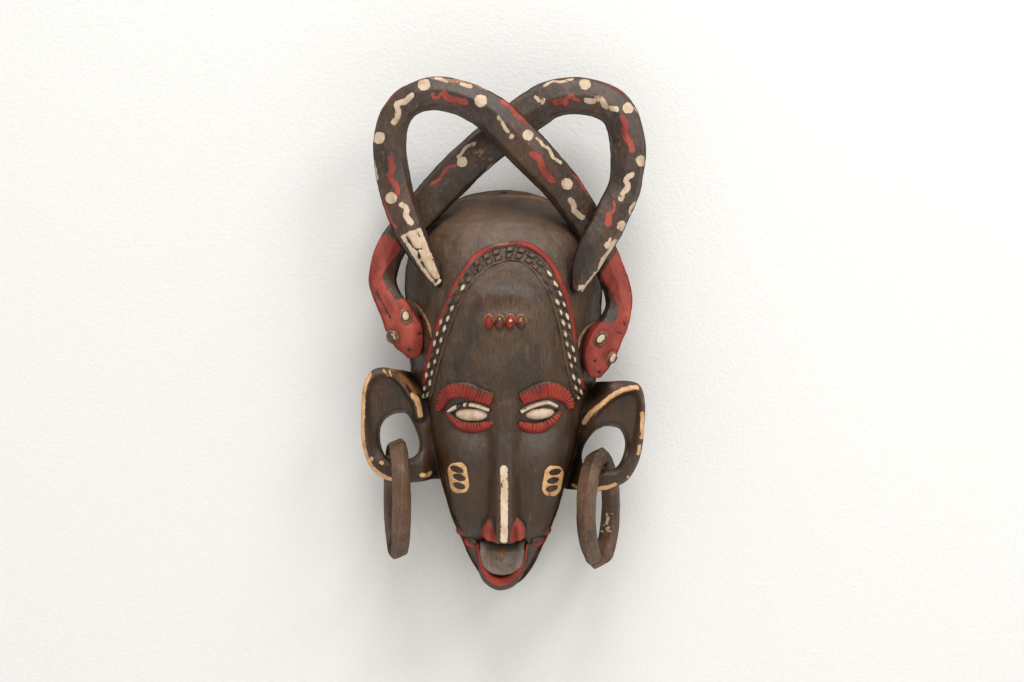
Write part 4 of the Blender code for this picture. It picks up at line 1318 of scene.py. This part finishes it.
def ear_depths(name, flat, edge_distance, from_outer, from_inner, fold, root):
    """Front and back depths of an ear plate: rounded edges, a hollow face and a fold."""
    x, z = flat[..., 0], flat[..., 1]
    round_edge = np.sqrt(np.clip(1 - (1 - np.minimum(edge_distance / 6.0, 1)) ** 2, 0, 1))
    middle = (EAR_FRONT + EAR_BACK) / 2
    half = (EAR_FRONT - EAR_BACK) / 2
    hollow = 5.5 * smoothstep(4, 13, from_outer) * smoothstep(-5, 4, from_inner)
    hollow *= smoothstep(-236, -218, z)
    fold_rise = 3.0 * smoothstep(-4.0, 1.0, stroke(x, z, fold, 2.0))
    hollow = hollow * (1 - smoothstep(-5.0, 1.0, stroke(x, z, fold, 2.0)))
    tragus = TRAGUS[name]
    lump = 3.5 * bump(np.hypot((x - tragus[0]) / 5.5, (z - tragus[1]) / 9.0), 1.0)
    front = middle + half * round_edge + (fold_rise - hollow) * smoothstep(0.5, 0.9, round_edge)
    beyond = np.abs(x) - np.interp(z, root[0], root[1])
    root_depth = np.maximum(base_depth(np.sign(x) * np.interp(z, root[0], root[1]), z) - 2.5, 34)
    melt = smoothstep(0, EAR_ROOT_BLEND, beyond)
    front = np.minimum(front, root_depth + (front - root_depth) * melt) + lump * round_edge
    back = middle - half * round_edge
    return front, np.minimum(back, front - 2.0 * round_edge - 0.01), round_edge


def make_ear(name, outline, hole, fold, root, marks, material):
    centre = np.mean(np.array(hole), axis=0)
    outer = closed_curve(outline, centre, EAR_STATIONS)
    inner = closed_curve(hole, centre, EAR_STATIONS)
    share = np.concatenate([np.linspace(0, 1, EAR_FRONT_COLUMNS),
                            np.linspace(1, 0, EAR_BACK_COLUMNS)[1:-1]])
    is_front = np.arange(len(share)) < EAR_FRONT_COLUMNS
    # Points bunch up at the two rounded edges
    eased = 0.5 - 0.5 * np.cos(math.pi * share)
    flat = inner[:, None] + (outer - inner)[:, None] * eased[None, :, None]
    width = np.linalg.norm(outer - inner, axis=1)[:, None]
    from_outer = (1 - eased)[None, :] * width
    from_inner = eased[None, :] * width
    front, back, round_edge = ear_depths(name, flat, np.minimum(from_outer, from_inner), from_outer,
                                         from_inner, fold, root)
    depth = np.where(is_front[None, :], front, back)
    x, z = flat[..., 0], flat[..., 1]
    rings = stack(x, depth, z)
    hand = 0.45 * noise(rings, (9, 9, 12), 51) + 0.18 * noise(rings, (3, 3, 4), 52)
    rings[..., 1] += hand * round_edge
    shown = np.where(is_front[None, :], 0.0, -FAR) + 0.4 * noise(rings, (2.4, 2.4, 2.4), 53)
    paints = {paint: union(*(squiggle(x, z, line, half) for line, half in lines)) + shown
              for paint, lines in marks.items()}
    quads = ring_quads(EAR_STATIONS, rings.shape[1], closed_rows=True)
    ear = make_piece(f"{name}_carving", rings.reshape(-1, 3), quads, [], paints, material)
    dress(ear, "mask", "dark_patinated_wood", name)


EAR_LEFT_MARKS = {
    "cream": ((((-114.2, -157.3), (-118.5, -168), (-120, -181), (-120.4, -205), (-118.6, -222),
                (-113, -235.5), (-104, -243.8), (-96.5, -247)), 2.2),
              (((-77.4, -175.2), (-73.2, -181.2), (-70.9, -192.5)), 2.1),
              (((-102.5, -153.5), (-98.5, -158.5)), 0.9), (((-97, -155), (-95.6, -158.5)), 0.9),
              (((-112.5, -229), (-112, -230)), 1.4), (((-104, -232.6), (-103.4, -233)), 1.6),
              (((-70, -243), (-65, -243.5), (-62.5, -242)), 1.8)),
    "bare": ((((-88, -158), (-80, -166), (-75, -173)), 2.5), (((-97, -153), (-85, -156)), 1))}
EAR_RIGHT_MARKS = {
    "cream": ((((69.3, -199), (74, -191.5), (80.2, -185.6), (87, -180), (94, -174.6), (102, -170.5),
                (108.2, -168.8), (113.6, -168.6)), 2.1),
              (((118.2, -191), (118.6, -200), (118, -211)), 2),
              (((116.2, -218.5), (115, -225)), 1.5), (((106, -244.6), (106.6, -245.2)), 1),
              (((80, -255), (88, -254), (95, -251.4)), 1.9), (((60, -253.5), (66, -255.5)), 1.4)),
    "bare": ((((66, -172), (74, -168)), 1.5), (((120, -172), (121, -182)), 1.2))}


# ---------------------------------------------------------------- rings

RING_OUTER = 52.5
RING_INNER = 36.0
RING_DROP = 24.7
RING_STATIONS = 330
RING_SECTION = 72
RING_FLATS = 13

# Section of a ring: its outer side has a ridge that wanders from side to side by the given shift
RING_RIDGE = 4.0
RING_SIDES = ((4.4, 7.6), (2.6, 8.2), (-5.2, 8.2), (-8.25, 4.6), (-8.25, -4.6), (-5.2, -8.2),
              (2.6, -8.2), (4.4, -7.6))
EDGE_SOFTENING = 5


def soft_section(corners, count):
    """Even points round a polygon whose corners are slightly rounded."""
    loop = np.array(list(corners) + [corners[0]], float)
    length = np.concatenate([[0], np.cumsum(np.linalg.norm(np.diff(loop, axis=0), axis=1))])
    fine = np.linspace(0, length[-1], 4 * count, endpoint=False)
    points = np.stack([np.interp(fine, length, column) for column in loop.T], axis=1)
    shifts = range(-EDGE_SOFTENING, EDGE_SOFTENING + 1)
    soft = sum(np.roll(points, shift, axis=0) for shift in shifts) / len(shifts)
    return soft[::4]


def make_ring(name, joint, seed, ridge_phase, paint, material):
    """Knife-cut ring in its joint's plane, hanging below the joint's axis."""
    pivot = np.array(joint["pos_m"]) / MM
    axis = np.array(joint["axis"])
    axis /= np.linalg.norm(axis)
    down = np.array([0.0, 0.0, -1.0])
    forward = np.cross(axis, down)
    turn = full_turn(RING_STATIONS)
    low, high = (soft_section(((8.4, shift),) + RING_SIDES, RING_SECTION)
                 for shift in (-RING_RIDGE, RING_RIDGE))
    share = 0.5 + 0.42 * np.sin(turn + ridge_phase)
    section = low[None] + (high - low)[None] * share[:, None, None]
    middle = (RING_OUTER + RING_INNER) / 2
    shape = np.stack([np.cos(turn), np.sin(turn)], axis=1)
    knife = np.stack([shape[:, 0] * 40, shape[:, 1] * 40, turn * 0], axis=1)
    swell = 1 - 0.03 + 0.03 * noise(knife, (17, 17, 17), seed)
    cut = facet_steps(turn, seed)[:, None] * smoothstep(-2, 7, section[..., 0])
    reach = middle + section[..., 0] * swell[:, None] - cut
    sideways = section[..., 1] * swell[:, None]
    world = (pivot + down * RING_DROP + (reach * shape[:, 0, None])[..., None] * down
             + (reach * shape[:, 1, None])[..., None] * forward + sideways[..., None] * axis)
    rings = stack(world[..., 0], -world[..., 1], world[..., 2])
    rings += ring_normals(rings) * (0.15 * noise(rings, (5, 5, 9), seed + 1))[..., None]
    points = rings.reshape(-1, 3)
    quads = ring_quads(RING_STATIONS, RING_SECTION, closed_rows=True)
    angle = turn[:, None] * np.ones(RING_SECTION)[None, :]
    inner = section[..., 0] < -6.0
    paints = {key: values.ravel() for key, values in paint(angle, inner, rings).items()}
    ring = make_piece(f"{name}_carving", points, quads, [], paints, material)
    dress(ring, name_to_body(name), "brown_ring_wood", name)


def name_to_body(node):
    for body, nodes in frame["record"]["behaviour"]["bodies"].items():
        if node in nodes:
            return body
    raise ValueError(node)


def facet_steps(turn, seed):
    """How far the outer edge lies inside its circle, where the knife left flats."""
    sector = 2 * math.pi / RING_FLATS
    shifted = turn + 0.35 * np.sin(turn * 3 + seed) * sector
    within = (shifted + 0.1 * seed) % sector - sector / 2
    return RING_OUTER * (1 - math.cos(sector / 2) / np.cos(within)) * 0.85


def left_ring_paint(angle, inner, rings):
    return {"bare": -2.6 + 1.6 * noise(rings, (12, 12, 20), 62)}


def right_ring_paint(angle, inner, rings):
    bare = -2.6 + 1.6 * noise(rings, (12, 12, 20), 63)
    bare = np.where(inner & (np.abs(angle - 5.6) < 0.5), -0.6, bare)
    flecks = 3.4 * noise(rings, (2.2, 2.2, 3.6), 61) - 1.4
    cream = np.where(inner & (np.abs(angle - 5.15) < 0.25), flecks, -FAR)
    return {"bare": bare, "cream": cream}


# ---------------------------------------------------------------- stage, light and camera

WALL_Y = 0.001
FLOOR_Z = -0.62
WORLD_STRENGTH = 0.76
WORLD_LOW = (0.84, 0.79, 0.72, 1.0)
WORLD_HIGH = (1.0, 1.0, 1.0, 1.0)
# Each light's name, place, size, power and tint
LIGHTS = (("key_light", (0.05, -1.6, 2.9), 1.8, 78.0, (1.0, 0.99, 0.97)),
          ("rim_light", (1.1, -1.1, 1.0), 0.7, 9.0, (1.0, 0.98, 0.95)))
WALL_COLOUR = (0.77, 0.77, 0.76, 1)
FLOOR_COLOUR = (0.82, 0.81, 0.78, 1)
LIGHT_TARGET = (0, -0.05, -0.1)
CAMERA_PLACE = (0.0073, -1.9, -0.129)
CAMERA_LENS = 75.6
SENSOR_WIDTH = 36.0


def make_stage():
    """Pale wall behind the mask and a pale floor below it.

    The wall is seen only from the front, and lets light through to the hollow back.
    """
    s = Shader("stage_wall")
    s.finish(WALL_COLOUR, 0.9, s.noise((3.4, 3.4, 3.0), 3.0, 0.6), 0.5)
    geometry = s.node("NewGeometry")
    clear = s.node("BsdfTransparent")
    mix = s.node("MixShader")
    path = s.node("LightPath")
    hidden = s.math("MAXIMUM", geometry.outputs["Backfacing"], path.outputs["Is Diffuse Ray"])
    for number, shader in enumerate((hidden, s.principled.outputs[0], clear.outputs[0])):
        s.link(shader, mix.inputs[number])
    s.link(mix.outputs[0], s.tree.nodes["Material Output"].inputs["Surface"])
    wall = stage_sheet("stage_wall", ((-2, WALL_Y, FLOOR_Z), (2, WALL_Y, FLOOR_Z), (2, WALL_Y, 1.4),
                                      (-2, WALL_Y, 1.4)), s.material)
    f = Shader("stage_floor")
    f.finish(FLOOR_COLOUR, 0.8, f.noise((30, 30, 30)), 0.2)
    floor = stage_sheet("stage_floor", ((-3, -3, FLOOR_Z), (3, -3, FLOOR_Z), (3, 3, FLOOR_Z),
                                        (-3, 3, FLOOR_Z)), f.material)


def stage_sheet(name, corners, material):
    mesh = bpy.data.meshes.new(name)
    mesh.from_pydata(corners, [], [(0, 1, 2, 3)])
    mesh.materials.append(material)
    return add_object(name, mesh)


def area_light(name, place, size, power, tint):
    light = bpy.data.lights.new(name, "AREA")
    light.shape = "DISK"
    light.size = size
    light.energy = power
    light.color = tint
    obj = add_object(name, light)
    obj.location = place
    direction = Vector(LIGHT_TARGET) - Vector(place)
    obj.rotation_euler = direction.to_track_quat("-Z", "Y").to_euler()


def make_world():
    """Soft light all round, warmer and a little weaker from below."""
    world = bpy.data.worlds.new("soft_world")
    bpy.context.scene.world = world
    world.use_nodes = True
    nodes, links = world.node_tree.nodes, world.node_tree.links
    place = nodes.new("ShaderNodeTexCoord")
    split = nodes.new("ShaderNodeSeparateXYZ")
    height = nodes.new("ShaderNodeMapRange")
    height.inputs["From Min"].default_value = -0.5
    height.inputs["From Max"].default_value = 0.9
    mix = nodes.new("ShaderNodeMix")
    mix.data_type = "RGBA"
    mix.inputs[6].default_value = WORLD_LOW
    mix.inputs[7].default_value = WORLD_HIGH
    links.new(place.outputs["Generated"], split.inputs[0])
    links.new(split.outputs["Z"], height.inputs["Value"])
    links.new(height.outputs["Result"], mix.inputs["Factor"])
    links.new(mix.outputs[2], nodes["Background"].inputs["Color"])
    nodes["Background"].inputs["Strength"].default_value = WORLD_STRENGTH


def make_camera():
    camera = bpy.data.cameras.new("camera")
    camera.sensor_width = SENSOR_WIDTH
    camera.lens = CAMERA_LENS
    obj = add_object("camera", camera)
    obj.location = CAMERA_PLACE
    obj.rotation_euler = (math.radians(90), 0, 0)
    bpy.context.scene.camera = obj


def make_light_and_camera():
    make_world()
    for light in LIGHTS:
        area_light(*light)
    make_camera()
    bpy.context.scene.view_settings.view_transform = "Standard"


# ---------------------------------------------------------------- build

def build():
    materials = make_materials()
    wood = materials["wood"]
    make_shell(materials["skull"])
    make_hair_band(wood)
    make_hair_ridge(wood)
    make_brows_and_lids(wood)
    make_ledges(wood)
    make_eyeballs(wood)
    make_scars(wood)
    make_cheek_marks(materials["ear"])
    make_upper_lip(wood)
    make_lower_lip(wood)
    make_tongue(materials["tongue"])
    make_serpent("serpent_front", SERPENT_FRONT, FRONT_MARKS, materials["serpent"])
    make_serpent("serpent_rear", SERPENT_REAR, REAR_MARKS, materials["serpent"])
    make_ear("ear_left", EAR_LEFT, EAR_LEFT_HOLE, EAR_FOLD_LEFT, EAR_LEFT_ROOT, EAR_LEFT_MARKS,
             materials["ear"])
    make_ear("ear_right", EAR_RIGHT, EAR_RIGHT_HOLE, EAR_FOLD_RIGHT, EAR_RIGHT_ROOT,
             EAR_RIGHT_MARKS, materials["ear"])
    joints = {joint["child"]: joint for joint in frame["joints"]}
    make_ring("ring_left", joints["left_ring"], 3, 1.4, left_ring_paint, materials["ring"])
    make_ring("ring_right", joints["right_ring"], 5, 2.2, right_ring_paint, materials["ring"])
    make_stage()
    make_light_and_camera()


build()
